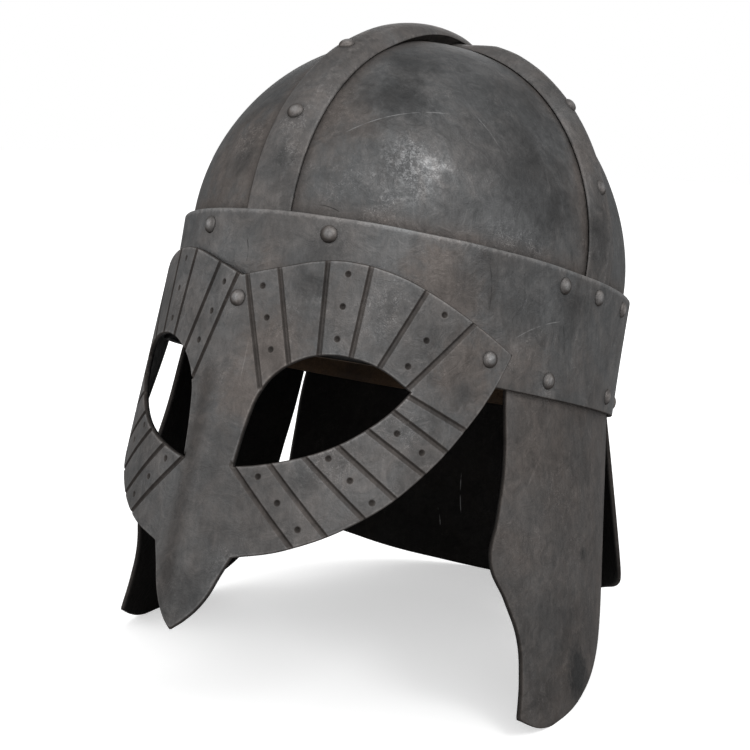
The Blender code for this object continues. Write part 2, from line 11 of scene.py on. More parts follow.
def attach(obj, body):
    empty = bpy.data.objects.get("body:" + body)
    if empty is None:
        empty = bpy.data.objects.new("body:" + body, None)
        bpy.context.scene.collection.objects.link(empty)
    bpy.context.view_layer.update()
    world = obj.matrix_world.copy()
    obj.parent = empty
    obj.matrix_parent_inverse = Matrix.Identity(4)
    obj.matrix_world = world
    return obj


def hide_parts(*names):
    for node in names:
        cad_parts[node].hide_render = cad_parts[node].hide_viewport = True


# Sizes in metres, the same as the solids are built to
BAND_HALF_WIDTH = 0.098
BAND_HALF_LENGTH = 0.126
BAND_HEIGHT = 0.055
BAND_WALL = 0.0022
GAP = 0.0003
PANEL_JOINT = 0.0006
DOME_RISE = 0.1025
PANEL_WALL = 0.0020
PANEL_TUCK = 0.020
RIB_WALL = 0.0020
RIB_EDGE = 0.0008
RIB_FORE_AFT_WIDTH = 0.0215
RIB_FORE_AFT_RISE = 0.0086
RIB_LATERAL_WIDTH = 0.0240
RIB_LATERAL_RISE = 0.0060
RIB_LATERAL_SET = 0.0045
RIB_ARCH_HALF_LENGTH = 0.070
CROSSING_WAY = 0.9
CROWN_POWER = 2.3
MASK_WALL = 0.0025
MASK_TOP = 0.038
MASK_DROP = 0.1125
MASK_LEAN = 0.060
MASK_SIDE_LEAN = 0.015
MASK_RIDGE_HEIGHT = 0.0022
MASK_RIDGE_SPREAD = 6.0
GROOVE_WIDTH = 0.0021
GROOVE_DEPTH = 0.0007
GROOVE_OVERRUN = 0.7
PIT_RADIUS = 0.0012
PIT_DEPTH = 0.0009
GUARD_TUCK = 0.018
CHEEK_WALL = 0.0025
CHEEK_DROP = 0.1343
CHEEK_FLARE = 0.131
NECK_WALL = 0.0025
NECK_DROP = 0.0920
NECK_FLARE = 0.260
LINING_WALL = 0.0020
LINING_HEIGHT = 0.040
RIVET_SHANK_RADIUS = 0.0018
RIVET_SHANK_LENGTH = 0.0048
RIVET_TAIL = 0.0004
RIVET_TOP_MARGIN = 0.0074
RIVET_LOW_MARGIN = 0.0073
RIVET_CAP_RADIUS = 0.0035
RIVET_CAP_HEIGHT = 0.0020
RIVET_UNEVENNESS = 0.00022
RIB_RIVET_SINK = 0.0002

# How the helmet rests: tipped back about +X, then moved
REST_PITCH = math.radians(14.2401)
REST_PLACE = (0.0, 0.012378, 0.125073)

# Camera in the helmet's own frame, before it is tipped back
CAMERA_PLACE = (0.3245, -0.5575, -0.0231)
CAMERA_RIGHT = (0.84758655, 0.50465811, 0.16406471)
CAMERA_UP = (-0.12155903, -0.11630536, 0.98574665)
CAMERA_LENS = 65.48
LIGHT_FROM = (0.580, -0.700, 0.420)

# Fineness of the looks
OUTLINE_STEPS = 12
OUTLINE_SPACING = 0.0012
FIELD_SPACING = 0.0025
HOOP_SECTIONS = 300
HOOP_ROWS = 20
DOME_COLUMNS = 72
DOME_ROWS = 64
RIB_SECTIONS = 150
RIB_COLUMNS = 25
CORNER_TURN = math.radians(20)

# Rounding, forging, burnished frames beside cuts and edges, dark edge lines of soiling and painted contact
# shade, the seams, and the nose ridge with painted shade in its hollow and a painted highlight on its
# crest
RIM_RADIUS = 0.0006
RIM_INSETS = (0.293, 1.0, 3.0)
FORGING_DEPTH = 0.0005
FORGING_SCALE = 24.0
FRAME_REACH = 0.0034
FRAME_LIGHT = 0.55
EDGE_GRIME_AND_SHADE_REACH = 0.0005
SEAM_REACH = 0.009
NOSE_HOLLOW_OFFSET = 0.0075
NOSE_HOLLOW_SPREAD = 0.0048
NOSE_HOLLOW_SHADE = 0.52
NOSE_CREST_OFFSET = 0.0035
NOSE_CREST_SPREAD = 0.0040
NOSE_CREST_HIGHLIGHT = 0.42

# What the materials read at each point of a piece, from 0 to 1, and the tints of the iron. The first mark
# lightens for wear and painted highlights, the second darkens for soiling and painted shade, and the third
# paints inner faces dark as shade
SURFACE_MARKS = ("worn", "carved", "inside", "seam")
COOL_TINT = (0.99, 1.0, 1.01, 1)
WARM_TINT = (1.105, 0.983, 0.915, 1)

# Outlines: angle round the hoop in degrees, and height as a share of the reach above or below
# the band's lower edge
CORNER = True
MASK_OUTLINE = (
    (0, 0.718, CORNER), (8.2, 0.842), (18.7, 0.978), (24.5, 1), (33.9, 0.942), (40.1, 0.847), (51, 0.613),
    (60.7, 0.37, CORNER), (57.7, -0.007), (52.6, -0.165), (45.1, -0.344), (34.8, -0.52), (20.5, -0.667),
    (10, -0.724, CORNER), (8.6, -0.78), (5.8, -0.892), (2.6, -0.962), (0, -1, CORNER),
)
EYE_OUTLINE = (
    (6.6, -0.419, CORNER), (7.7, -0.262), (9.4, -0.151), (12.4, -0.077), (16.6, -0.025), (21, 0.008),
    (27.1, 0.028), (33.2, -0.012), (39.8, -0.071, CORNER), (36.6, -0.146), (32.2, -0.222), (26.9, -0.292),
    (20.6, -0.348), (12, -0.398),
)
CHEEK_OUTLINE = (
    (62.5, 1, CORNER), (62.6, 0), (64, -0.223), (63.3, -0.385), (62.5, -0.514), (67.3, -0.628),
    (71.3, -0.737), (72.6, -0.85), (72.6, -0.972, CORNER), (79.5, -1), (87, -0.976), (96, -0.916),
    (104, -0.833), (109.5, -0.73), (112.5, -0.596), (112.6, -0.372), (113.4, -0.127), (113.5, 1, CORNER),
)
NECK_OUTLINE = (
    (114.7, 1, CORNER), (114.7, -0.06), (116.5, -0.359), (117.6, -0.54), (118.8, -0.71), (121.5, -0.815),
    (127, -0.87), (137, -0.915), (150, -0.968), (165, -0.993), (173, -0.999), (180, -1, CORNER),
    (180, 1, CORNER),
)
# Grooves from the eye's edge to the rim: angle and height at each end
MASK_GROOVES = (
    (9.1, -0.133, 1.2, 0.736), (14.3, -0.034, 8.2, 0.842), (20.4, 0.008, 18.7, 0.978),
    (26.9, 0.028, 27.9, 0.99), (32.7, -0.01, 40, 0.847), (39.4, -0.052, 51, 0.613),
    (39.3, -0.085, 52.2, -0.168), (36.7, -0.144, 49, -0.254), (32.3, -0.221, 45, -0.343),
    (27.1, -0.291, 39.8, -0.437), (21, -0.346, 34.6, -0.522), (14.2, -0.388, 27.8, -0.597),
    (6.7, -0.42, 21.8, -0.655),
)
# Rows of pits between two grooves: first and last pit, and how many
MASK_PITS = (
    (5.3, 0.624, 9.9, -0.004, 3), (23.4, 0.868, 23.5, 0.197, 3), (44.2, 0.634, 38.4, 0.045, 3),
    (38.3, -0.217, 43.8, -0.268, 2), (25.9, -0.338, 35.6, -0.462, 3), (12.5, -0.438, 22.4, -0.59, 3),
)
# Height of a strap's crown at shares of the way from the band to the top
FORE_AFT_RISES = (
    (0.00, 0.27, 0.47, 0.60, 0.73, 0.83, 0.92, 1.00),
    (0.00, 0.30, 0.54, 0.57, 0.69, 0.80, 0.89, 1.00),
)
LATERAL_RISES = (
    (0.00, 0.24, 0.49, 0.66, 0.75, 0.82, 0.87, 0.90, 1.00),
    (0.00, 0.30, 0.65, 0.93, 1.00, 0.92, 0.62, 0.45, 0.40),
)
BAND_TOP_RIVETS = (17.4, 73.5, 86.5, 102.1, 133.0, 162.6)
CHEEK_RIVETS = (73.0, 101.0)
NECK_RIVETS = (125.0, 152.0, 180.0)
MASK_RIVETS = ((0.0, 0.468), (55.4, 0.276))
RIB_RIVET_WAYS = (0.26, 0.52)

FLAT_RADIUS = (BAND_HALF_WIDTH + BAND_HALF_LENGTH) / 2
GUARD_GROW = -BAND_WALL - GAP
PANEL_GROW = -BAND_WALL - GAP - RIB_EDGE - GAP
DOME_HALF_WIDTH = BAND_HALF_WIDTH + PANEL_GROW
DOME_HALF_LENGTH = BAND_HALF_LENGTH + PANEL_GROW
INNERMOST_GROW = min(PANEL_GROW - PANEL_WALL, GUARD_GROW - max(CHEEK_WALL, NECK_WALL))
LINING_GROW = INNERMOST_GROW - RIVET_TAIL - GAP

# Marks of use in the helmet's own frame. Each is its place and radius in millimetres, and its
# strength. Stains darken, scuffs craze, rust warms, and rubs brighten, partly burnished metal and partly a
# painted highlight
DOME_STAINS = (
    (34.9, -93.2, 109.6, 19, 0.85), (25, -99, 108.5, 13, 0.5), (86, -40.7, 79.9, 17, 0.75),
    (71, -33.5, 116.5, 20, 0.4), (26.7, -77, 129.2, 15, 0.5), (43.8, -103.7, 79.6, 11, 0.5),
    (60, -60, 123, 22, 0.35), (77.6, -53.2, 91.8, 34, 0.65), (-21, -115, 76, 10, 0.55),
)
DOME_RUBS_AND_HIGHLIGHT = (
    (49, -99.2, 80, 17.5, 0.85), (54, -94, 82.2, 8.5, 0.9),
)
DOME_SCUFFS = (
    (79.4, -64.7, 60.1, 11, 1.2), (84, -54, 60, 8, 1), (44.7, -110, 59, 10, 1), (30, -113, 72, 12, 0.6),
    (-23, -112.8, 84.6, 12, 1.2), (25, -116, 64, 10, 0.7),
)
DOME_RUST = (
    (16, -109, 98, 22, 0.7), (-25, -113, 80, 30, 0.9), (88, -18, 90, 24, 0.6),
)
BAND_STAINS = (
    (77.7, -76.8, 44.6, 17, 0.6), (87.2, -56.8, 33.4, 18, 0.55), (27, -120.5, 43, 14, 0.35),
    (-58.3, -101.1, 47, 12, 0.45), (95, -30, 36, 16, 0.55),
)
BAND_SCUFFS = (
    (73.8, -82.5, 52, 10, 0.5), (30, -119.6, 48, 9, 0.6),
)
BAND_RUST = (
    (68.8, -89.6, 35.5, 22, 0.8), (8, -125.6, 26, 16, 0.6), (88, -53, 8, 20, 0.5),
)
MASK_STAINS = (
    (59.7, -106.6, 5.2, 10, 0.3), (30, -126.2, 12, 10, 0.45), (71.2, -93.4, 12.2, 10, 0.4),
    (2, -139, -98, 20, 0.5), (26.8, -125.2, 25.9, 8, 0.6), (73.5, -89.9, 18.1, 7, 0.55),
    (79, -82.4, -4, 7, 0.5), (38.9, -124.9, -49.2, 8, 0.4), (-14.9, -128.7, 25, 7, 0.5),
)
MASK_SCUFFS = (
    (51.5, -112.5, 19, 13, 0.9), (46.4, -119.8, -36.6, 14, 0.9), (65.3, -102.6, -23.1, 13, 0.9),
    (20.7, -128.2, 7.6, 10, 0.5), (55, -109.2, 25.8, 11, 0.9), (-36.9, -121.6, 15, 11, 0.7),
)
MASK_RUST = (
    (20.7, -129, 0, 18, 0.8), (79, -83, 5, 18, 0.8), (11, -133.5, -20, 14, 0.6),
)
GUARD_STAINS = (
    (110.1, 7, -112.5, 14, 1.2), (103.4, 6.8, -63.1, 5, 0.7), (105.5, -25, -93, 24, 0.4),
    (106.2, 20.4, -92, 14, 0.35), (109, -25.4, -118.8, 14, 0.3),
)
GUARD_SCUFFS = (
    (104, 20, -85, 8, 0.6), (98.5, -23.4, -37, 14, 0.6),
)
RIB_STAINS = (
    (0, -122.5, 74, 12, 0.6), (6, -123.5, 64, 12, 0.45), (94.3, -10, 72, 16, 0.75),
)
RIB_SCUFFS = (
    (1.6, -116, 93, 10, 1), (4.5, -120.5, 79.8, 9, 1),
)
# Single scratches and creases: start, end, width and bow in millimetres, and their grey; the darkest greys
# paint the shade in creases and nicks
DOME_SCRATCHES = (
    (22.7, -111.1, 90.2, 51.8, -81.4, 106.9, 0.2, 2.2, 0.3),
    (56.7, -72.3, 110.3, 68.6, -66.7, 98, 0.16, 0.6, 0.3),
    (21, -118.6, 58.9, 29.9, -115.8, 57.2, 0.18, 0.6, 0.02),
)
BAND_SCRATCHES = (
    (86.3, -59.4, 21.4, 93.9, -35.6, 32.5, 0.18, 1.2, 0.3), (96, -23, 14, 97, -17, 16, 0.16, 0.3, 0.3),
    (-5.4, -125.5, 42.4, -3.7, -125.7, 32.8, 0.24, 0.8, 0.03),
    (78.1, -76, 47.6, 79.5, -73.3, 30, 0.2, 1, 0.03),
    (94.3, -34.1, 34.3, 95.2, -29.1, 19.4, 0.3, 0.6, 0.03),
)
GUARD_SCRATCHES = (
    (103.1, 6.8, -60, 103.7, 5.4, -65.5, 0.4, 0.5, 0.02),
    (-23.1, 128.4, -40, -22.3, 134.3, -63.8, 0.22, 0.6, 0.3),
    (-35.5, 129, -61, -33.5, 133.1, -72.7, 0.2, -0.5, 0.3),
)


def tipped(points):
    """Points of the upright helmet as they stand on the table."""
    points = np.asarray(points, float).reshape(-1, 3)
    cosine, sine = math.cos(REST_PITCH), math.sin(REST_PITCH)
    out = points.copy()
    out[:, 1] = points[:, 1] * cosine + points[:, 2] * sine
    out[:, 2] = -points[:, 1] * sine + points[:, 2] * cosine
    return out + np.array(REST_PLACE)


def direction(vector):
    """A direction of the upright helmet as it stands."""
    return tipped(vector)[0] - np.array(REST_PLACE)


def unit(vector):
    return vector / np.linalg.norm(vector)


def unit_rows(rows):
    return rows / np.linalg.norm(rows, axis=1)[:, None]


def smoothstep(value):
    value = np.clip(value, 0.0, 1.0)
    return value * value * (3 - 2 * value)


def on_hoop(angle, height, grow):
    turn = np.radians(angle)
    across = (BAND_HALF_WIDTH + grow) * np.sin(turn)
    along = -(BAND_HALF_LENGTH + grow) * np.cos(turn)
    return np.stack(np.broadcast_arrays(across, along, height), -1)


def hoop_normal(angle, grow):
    turn = math.radians(angle)
    across = math.sin(turn) / (BAND_HALF_WIDTH + grow)
    along = -math.cos(turn) / (BAND_HALF_LENGTH + grow)
    return unit(np.array((across, along, 0)))


def mask_height(share):
    return share * (MASK_TOP if share > 0 else MASK_DROP)


def mask_grow(angle, height):
    side = smoothstep((np.abs(angle) - 35) / 25)
    lean = MASK_LEAN + (MASK_SIDE_LEAN - MASK_LEAN) * side
    ridge = MASK_RIDGE_HEIGHT * np.exp(-(np.asarray(angle) / MASK_RIDGE_SPREAD) ** 2)
    return 2 * GAP + MASK_WALL + ridge + lean * (MASK_TOP - height)


def place_on_mask(angle, height, out):
    return on_hoop(angle, height, mask_grow(angle, height) + out)


def guard_place(flare):
    def place(angle, height, out):
        return on_hoop(angle, height, GUARD_GROW + flare * np.maximum(0.0, -height) + out)
    return place


def forged(points):
    """Sink the surface in shallow hammered hollows, the same for plates that touch."""
    points = np.asarray(points, float).reshape(-1, 3)
    facing = points / np.array((BAND_HALF_WIDTH, BAND_HALF_LENGTH, DOME_RISE)) ** 2
    facing[:, 2] = np.maximum(points[:, 2] - BAND_HEIGHT, 0) / DOME_RISE ** 2
    hollow = np.array([noise.noise(Vector(point) * FORGING_SCALE) for point in points])
    return points - unit_rows(facing) * (FORGING_DEPTH * (0.5 + 0.5 * hollow))[:, None]


def in_scene(name, data):
    obj = bpy.data.objects.new(name, data)
    bpy.context.scene.collection.objects.link(obj)
    return obj


def write_marks(mesh, **marks):
    """Write the surface marks at each point, a shorter row over and over, and 0 where none is given."""
    for label in SURFACE_MARKS:
        if label not in mesh.attributes:
            mesh.attributes.new(label, "FLOAT", "POINT")
        row = np.resize(np.float32(marks.get(label, 0.0)), len(mesh.vertices))
        mesh.attributes[label].data.foreach_set("value", row)


def plain_mesh(holder):
    """The evaluated mesh of a helper object, which is then removed."""
    grown = holder.evaluated_get(bpy.context.evaluated_depsgraph_get())
    mesh = bpy.data.meshes.new_from_object(grown)
    bpy.data.objects.remove(holder)
    return mesh


def stand_for(obj, slot, nodes):
    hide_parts(*nodes)
    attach(obj, "root")


def new_piece(name, points, faces, slot, nodes, material, **marks):
    """Mesh object of one plate in its resting place, standing for its solids."""
    points = tipped(forged(points))
    points[:, 2] = np.maximum(points[:, 2], 0.0)
    mesh = bpy.data.meshes.new(name)
    mesh.from_pydata(points.tolist(), [], faces)
    write_marks(mesh, **marks)
    mesh.shade_smooth()
    mesh.materials.append(material)
    stand_for(in_scene(name, mesh), slot, nodes)


def outline_points(marks, top, drop):
    """Smooth flat outline through the marks, as an arc round the hoop and a height."""
    curve = bpy.data.curves.new("outline", "CURVE")
    curve.dimensions = "2D"
    curve.fill_mode = "NONE"
    curve.resolution_u = OUTLINE_STEPS
    spline = curve.splines.new("BEZIER")
    spline.bezier_points.add(len(marks) - 1)
    spline.use_cyclic_u = True
    for point, (angle, share, *corner) in zip(spline.bezier_points, marks):
        point.co = (math.radians(angle) * FLAT_RADIUS, share * (top if share > 0 else drop), 0)
        point.handle_left_type = point.handle_right_type = "VECTOR" if corner else "AUTO"
    mesh = plain_mesh(in_scene("outline", curve))
    points = np.array([vert.co.xy for vert in mesh.vertices])
    bpy.data.meshes.remove(mesh)
    return points


def mirrored_outline(marks, top, drop, middle, closing):
    """Even whole outline from the half that starts and ends on the middle line."""
    half = outline_points(marks, top, drop)[:(len(marks) - closing) * OUTLINE_STEPS + 1]
    other = half[::-1].copy()
    other[:, 0] = 2 * middle - other[:, 0]
    return evenly(np.concatenate([half, other[np.abs(other[:, 0] - middle) > 1e-7]]))


def evenly(points):
    """The closed outline with points at an even spacing, its sharp corners kept."""
    before = points - np.roll(points, 1, 0)
    after = np.roll(points, -1, 0) - points
    swing = before[:, 0] * after[:, 1] - before[:, 1] * after[:, 0]
    turn = np.arctan2(swing, (before * after).sum(1))
    corners = list(np.flatnonzero(np.abs(turn) > CORNER_TURN)) or [0]
    loop = []
    for start, end in zip(corners, corners[1:] + [corners[0] + len(points)]):
        run = points[np.arange(start, end + 1) % len(points)]
        lengths = np.concatenate([[0], np.cumsum(np.linalg.norm(np.diff(run, axis=0), axis=1))])
        count = max(1, round(lengths[-1] / OUTLINE_SPACING))
        steps = np.linspace(0, lengths[-1], count + 1)[:-1]
        loop.append(np.stack([np.interp(steps, lengths, row) for row in run.T], -1))
    return np.concatenate(loop)


def loop_distance(points, loops):
    """Distance of each flat point to the nearest of the outlines."""
    nearest = np.full(len(points), 1e9)
    for loop in loops:
        for start, end in zip(loop, np.roll(loop, -1, 0)):
            run = end - start
            share = np.clip(((points - start) @ run) / max(run @ run, 1e-12), 0, 1)
            away = np.linalg.norm(points - start - share[:, None] * run, axis=1)
            nearest = np.minimum(nearest, away)
    return nearest


def inside_loop(points, loop):
    within = np.zeros(len(points), bool)
    for start, end in zip(loop, np.roll(loop, -1, 0)):
        crosses = (start[1] > points[:, 1]) != (end[1] > points[:, 1])
        with np.errstate(divide="ignore", invalid="ignore"):
            reach = (end[0] - start[0]) * (points[:, 1] - start[1]) / (end[1] - start[1]) + start[0]
        within ^= crosses & (points[:, 0] < reach)
    return within


def on_plate(points, loops):
    """Which flat points lie inside the first loop and outside the others."""
    within = inside_loop(points, loops[0])
    for loop in loops[1:]:
        within &= ~inside_loop(points, loop)
    return within


def inset(loop, loops, distance, solid_side):
    """Chain of points a distance inside the outline, broken where it turns too tightly."""
    following = np.roll(loop, -1, 0)
    run = following - np.roll(loop, 1, 0)
    normal = unit_rows(np.stack([-run[:, 1], run[:, 0]], -1))
    if ((loop[:, 0] * following[:, 1] - loop[:, 1] * following[:, 0]).sum() < 0) == solid_side:
        normal = -normal
    moved = loop + normal * distance
    return moved[loop_distance(moved, loops) > distance * 0.985]


def flat_mesh(loops, lines, rings):
    """Fine triangles inside the first loop and outside the others, creased along the lines."""
    points, edges = [], []

    def add_chain(chain, closed=True, reach=math.inf):
        first, count = len(points), len(chain)
        points.extend(map(tuple, chain))
        gaps = np.linalg.norm(np.roll(chain, -1, 0) - chain, axis=1)
        for index in range(count if closed else count - 1):
            if gaps[index] < reach:
                edges.append((first + index, first + (index + 1) % count))

    for index, loop in enumerate(loops):
        add_chain(loop)
        for share in RIM_INSETS:
            add_chain(inset(loop, loops, RIM_RADIUS * share, index == 0), reach=OUTLINE_SPACING * 1.6)
    for line in lines:
        add_chain(line, closed=False)
    for ring in rings:
        add_chain(ring)
    fixed = np.array(points)
    low, high = loops[0].min(0), loops[0].max(0)
    field = []
    for index, height in enumerate(np.arange(low[1], high[1], FIELD_SPACING * 0.866)):
        across = np.arange(low[0] + (index % 2) * FIELD_SPACING / 2, high[0], FIELD_SPACING)
        field.append(np.stack([across, np.full(len(across), height)], -1))
    field = np.concatenate(field)
    field = field[on_plate(field, loops)]
    gap = np.array([np.min(np.sum((fixed - spot) ** 2, axis=1)) for spot in field])
    points += [tuple(spot) for spot in field[gap > (FIELD_SPACING * 0.6) ** 2]]
    verts, _, faces, *_ = delaunay_2d_cdt([Vector(point) for point in points], edges, [], 0, 1e-7)
    verts, faces = np.array([tuple(vert) for vert in verts]), np.array(faces)
    return verts, faces[on_plate(verts[faces].mean(1), loops)]


def make_sheet(name, loops, place, wall, slot, nodes, material,
               lines=(), rings=(), relief=None, flip=False):
    """Bent plate with rounded edges: its outer face, its inner face and the rim between them."""
    verts, faces = flat_mesh(loops, lines, rings)
    used, faces = np.unique(faces, return_inverse=True)
    verts, faces = verts[used], faces.reshape(-1, 3)
    a, b, c = verts[faces[:, 0]], verts[faces[:, 1]], verts[faces[:, 2]]
    swing = (b[:, 0] - a[:, 0]) * (c[:, 1] - a[:, 1]) - (b[:, 1] - a[:, 1]) * (c[:, 0] - a[:, 0])
    faces[swing < 0] = faces[swing < 0][:, ::-1]
    edge = loop_distance(verts, loops)
    rounding = RIM_RADIUS - np.sqrt(
        np.maximum(RIM_RADIUS ** 2 - np.maximum(RIM_RADIUS - edge, 0) ** 2, 0))
    count = len(verts)
    cut, dirt_and_shade, polish_and_highlight = relief(verts) if relief else np.zeros((3, count))
    angle, height = np.degrees(verts[:, 0] / FLAT_RADIUS), verts[:, 1]
    points = np.concatenate([place(angle, height, -rounding - cut), place(angle, height, rounding - wall)])
    directed = dict.fromkeys(
        pair for face in faces.tolist() for pair in zip(face, face[1:] + face[:1]))
    rim = [(end, start, start + count, end + count)
           for start, end in directed if (end, start) not in directed]
    all_faces = faces.tolist() + (faces[:, ::-1] + count).tolist() + rim
    if flip:
        points[:, 0] *= -1
        all_faces = [tuple(face)[::-1] for face in all_faces]
    edge_wear_and_highlight = (1 - smoothstep((edge - 0.0002) / 0.0015)) * (1.0 if relief else 0.5)
    edge_wear_and_highlight = np.maximum(edge_wear_and_highlight, FRAME_LIGHT * (1 - smoothstep(edge / FRAME_REACH)))
    # Dark line right at the edge: soiling and painted contact shade
    off_edge = smoothstep(edge / EDGE_GRIME_AND_SHADE_REACH)
    edge_wear_and_highlight = np.maximum(edge_wear_and_highlight * off_edge, polish_and_highlight)
    dirt_and_shade = np.maximum(dirt_and_shade, 0.9 * (1 - off_edge))
    new_piece(name, points, all_faces, slot, nodes, material, worn=edge_wear_and_highlight,
              carved=np.concatenate([dirt_and_shade, np.zeros(count)]), inside=np.repeat((0.0, 1.0), count))


def groove_lines():
    """Ends of each groove's centre line in the flat, on both sides."""
    rows = []
    for eye_angle, eye_share, rim_angle, rim_share in MASK_GROOVES:
        for sign in (1, -1):
            eye = np.array((sign * math.radians(eye_angle) * FLAT_RADIUS, mask_height(eye_share)))
            rim = np.array((sign * math.radians(rim_angle) * FLAT_RADIUS, mask_height(rim_share)))
            along = unit(rim - eye)
            rows.append((eye - along * GROOVE_WIDTH * GROOVE_OVERRUN,
                         rim + along * GROOVE_WIDTH * GROOVE_OVERRUN))
    return rows


def pit_centres():
    centres = []
    for first_angle, first_share, last_angle, last_share, count in MASK_PITS:
        first, last = mask_height(first_share), mask_height(last_share)
        for share in np.linspace(0, 1, count):
            across = math.radians(first_angle + (last_angle - first_angle) * share) * FLAT_RADIUS
            height = first + (last - first) * share
            centres += [(across, height), (-across, height)]
    return np.array(centres)


def engraved(verts):
    """Depth of the cuts at flat points; their soiling, with painted shade on one wall of the near grooves
    and a painted lighter side in each pit; painted shade in the hollow beside the nose ridge; and the
    burnished frames with a painted highlight along the nose crest.
    """
    depth, dirt_and_shade, framed = np.zeros((3, len(verts)))
    for start, end in groove_lines():
        run = end - start
        length = np.linalg.norm(run)
        along, aside = (verts - start) @ run / length, np.cross(run / length, verts - start)
        lean = aside / (GROOVE_WIDTH / 2)
        held = (along > 0) & (along < length)
        near = held & (np.abs(lean) < 1.3)
        cut = GROOVE_DEPTH * np.interp(np.abs(lean), (0, 0.55, 1, 1.2), (1, 1, 0.12, 0))
        # The near grooves are darker along one wall, soiling with painted shade; the far ones hold soiling
        # only
        if start[0] > 0:
            cut_grime_and_shade = np.interp(lean, (-1.2, -1, -0.55, 0, 0.55, 1, 1.2), (0, 0.45, 0.58, 0.58, 1.0, 0.8, 0))
        else:
            cut_grime_and_shade = np.interp(np.abs(lean), (0, 0.55, 1, 1.2), (0.8, 1.0, 1.0, 0))
        beside = 1 - smoothstep((np.abs(aside) - GROOVE_WIDTH / 2) / FRAME_REACH)
        framed = np.maximum(framed, held * (np.abs(lean) > 1.2) * beside)
        cut *= 0.35 + 0.65 * smoothstep((length - along) / 0.005)
        depth = np.maximum(depth, cut * near)
        dirt_and_shade = np.maximum(dirt_and_shade, cut_grime_and_shade * near)
    for centre in pit_centres():
        offset = (verts - centre) / PIT_RADIUS
        away = np.linalg.norm(offset, axis=1)
        hole = PIT_DEPTH * np.interp(away, (0, 0.55, 1, 1.2), (1, 0.85, 0.12, 0))
        # Soiled pits, painted lighter on one side as light falls on them
        lean = np.where(centre[0] > 0, 1.0, -1.0) * offset[:, 0]
        cut_grime_and_shade = np.interp(away, (0, 0.55, 1, 1.2), (1.0, 1.0, 0.75, 0)) * (1 - 0.30 * np.clip(lean, 0, 1))
        depth = np.maximum(depth, hole)
        dirt_and_shade = np.maximum(dirt_and_shade, cut_grime_and_shade)
    # Painted shade in the hollow beside the nose ridge, and a painted highlight along its crest
    down = -verts[:, 1] / MASK_DROP
    bridge = smoothstep((down - 0.02) / 0.15) * (1 - smoothstep((down - 0.80) / 0.18))
    hollow = np.exp(-((verts[:, 0] + NOSE_HOLLOW_OFFSET) / NOSE_HOLLOW_SPREAD) ** 2)
    crest = np.exp(-((verts[:, 0] - NOSE_CREST_OFFSET) / NOSE_CREST_SPREAD) ** 2)
    crest *= bridge * (1 - smoothstep((down - 0.45) / 0.35))
    dirt_and_shade = np.maximum(dirt_and_shade, NOSE_HOLLOW_SHADE * hollow * bridge)
    return depth, dirt_and_shade, np.maximum(FRAME_LIGHT * framed, NOSE_CREST_HIGHLIGHT * crest)


def make_mask(material):
    outline = mirrored_outline(MASK_OUTLINE, MASK_TOP, MASK_DROP, 0.0, 1)
    eye = evenly(outline_points(EYE_OUTLINE, MASK_TOP, MASK_DROP))
    lines, rings = [], []
    for start, end in groove_lines():
        along = unit(end - start)
        side = np.array((-along[1], along[0]))
        row = np.linspace(start, end, round(np.linalg.norm(end - start) / FIELD_SPACING))
        for share in (-1.5, -1.2, -1, -0.55, 0, 0.55, 1, 1.2, 1.5):
            lines.append(row + side * share * GROOVE_WIDTH / 2)
    turns = np.linspace(0, 2 * math.pi, 14, endpoint=False)
    for centre in pit_centres():
        for share in (0.25, 0.55, 1.0, 1.2, 1.5):
            rings.append(centre + share * PIT_RADIUS * np.stack([np.cos(turns), np.sin(turns)], -1))
    make_sheet("engraved_spectacle_mask", [outline, eye, eye * np.array((-1, 1))], place_on_mask,
               MASK_WALL, "iron_mask", ["spectacle_mask"], material, lines, rings, engraved)


def make_guards(material):
    loop = evenly(outline_points(CHEEK_OUTLINE, GUARD_TUCK, CHEEK_DROP))
    for side, flip in (("left", False), ("right", True)):
        make_sheet("forged_cheek_guard_" + side, [loop], guard_place(CHEEK_FLARE), CHEEK_WALL,
                   "iron_guard", ["cheek_guard_" + side], material, flip=flip)
    loop = mirrored_outline(NECK_OUTLINE, GUARD_TUCK, NECK_DROP, math.pi * FLAT_RADIUS, 2)
    make_sheet("forged_neck_guard", [loop], guard_place(NECK_FLARE), NECK_WALL,
               "iron_guard", ["neck_guard"], material)


def lofted_piece(name, sections, slot, node, material, around=False, **marks):
    """Piece of closed sections skinned in order, open ends capped, its faces turned outwards."""
    sections = np.asarray(sections, float)
    rows, count = sections.shape[:2]
    points = sections.reshape(-1, 3)
    faces = []
    for row in range(rows if around else rows - 1):
        here, there = row * count, (row + 1) % rows * count
        for index in range(count):
            beside = (index + 1) % count
            faces.append((here + index, here + beside, there + beside, there + index))
    if not around:
        faces += [tuple(range(count))[::-1], tuple(range((rows - 1) * count, rows * count))]
    volume = sum(np.dot(points[face[0]], np.cross(points[second], points[third]))
                 for face in faces for second, third in zip(face[1:], face[2:]))
    if volume <= 0:
        faces = [face[::-1] for face in faces]
    new_piece(name, points, faces, slot, [node], material, **marks)


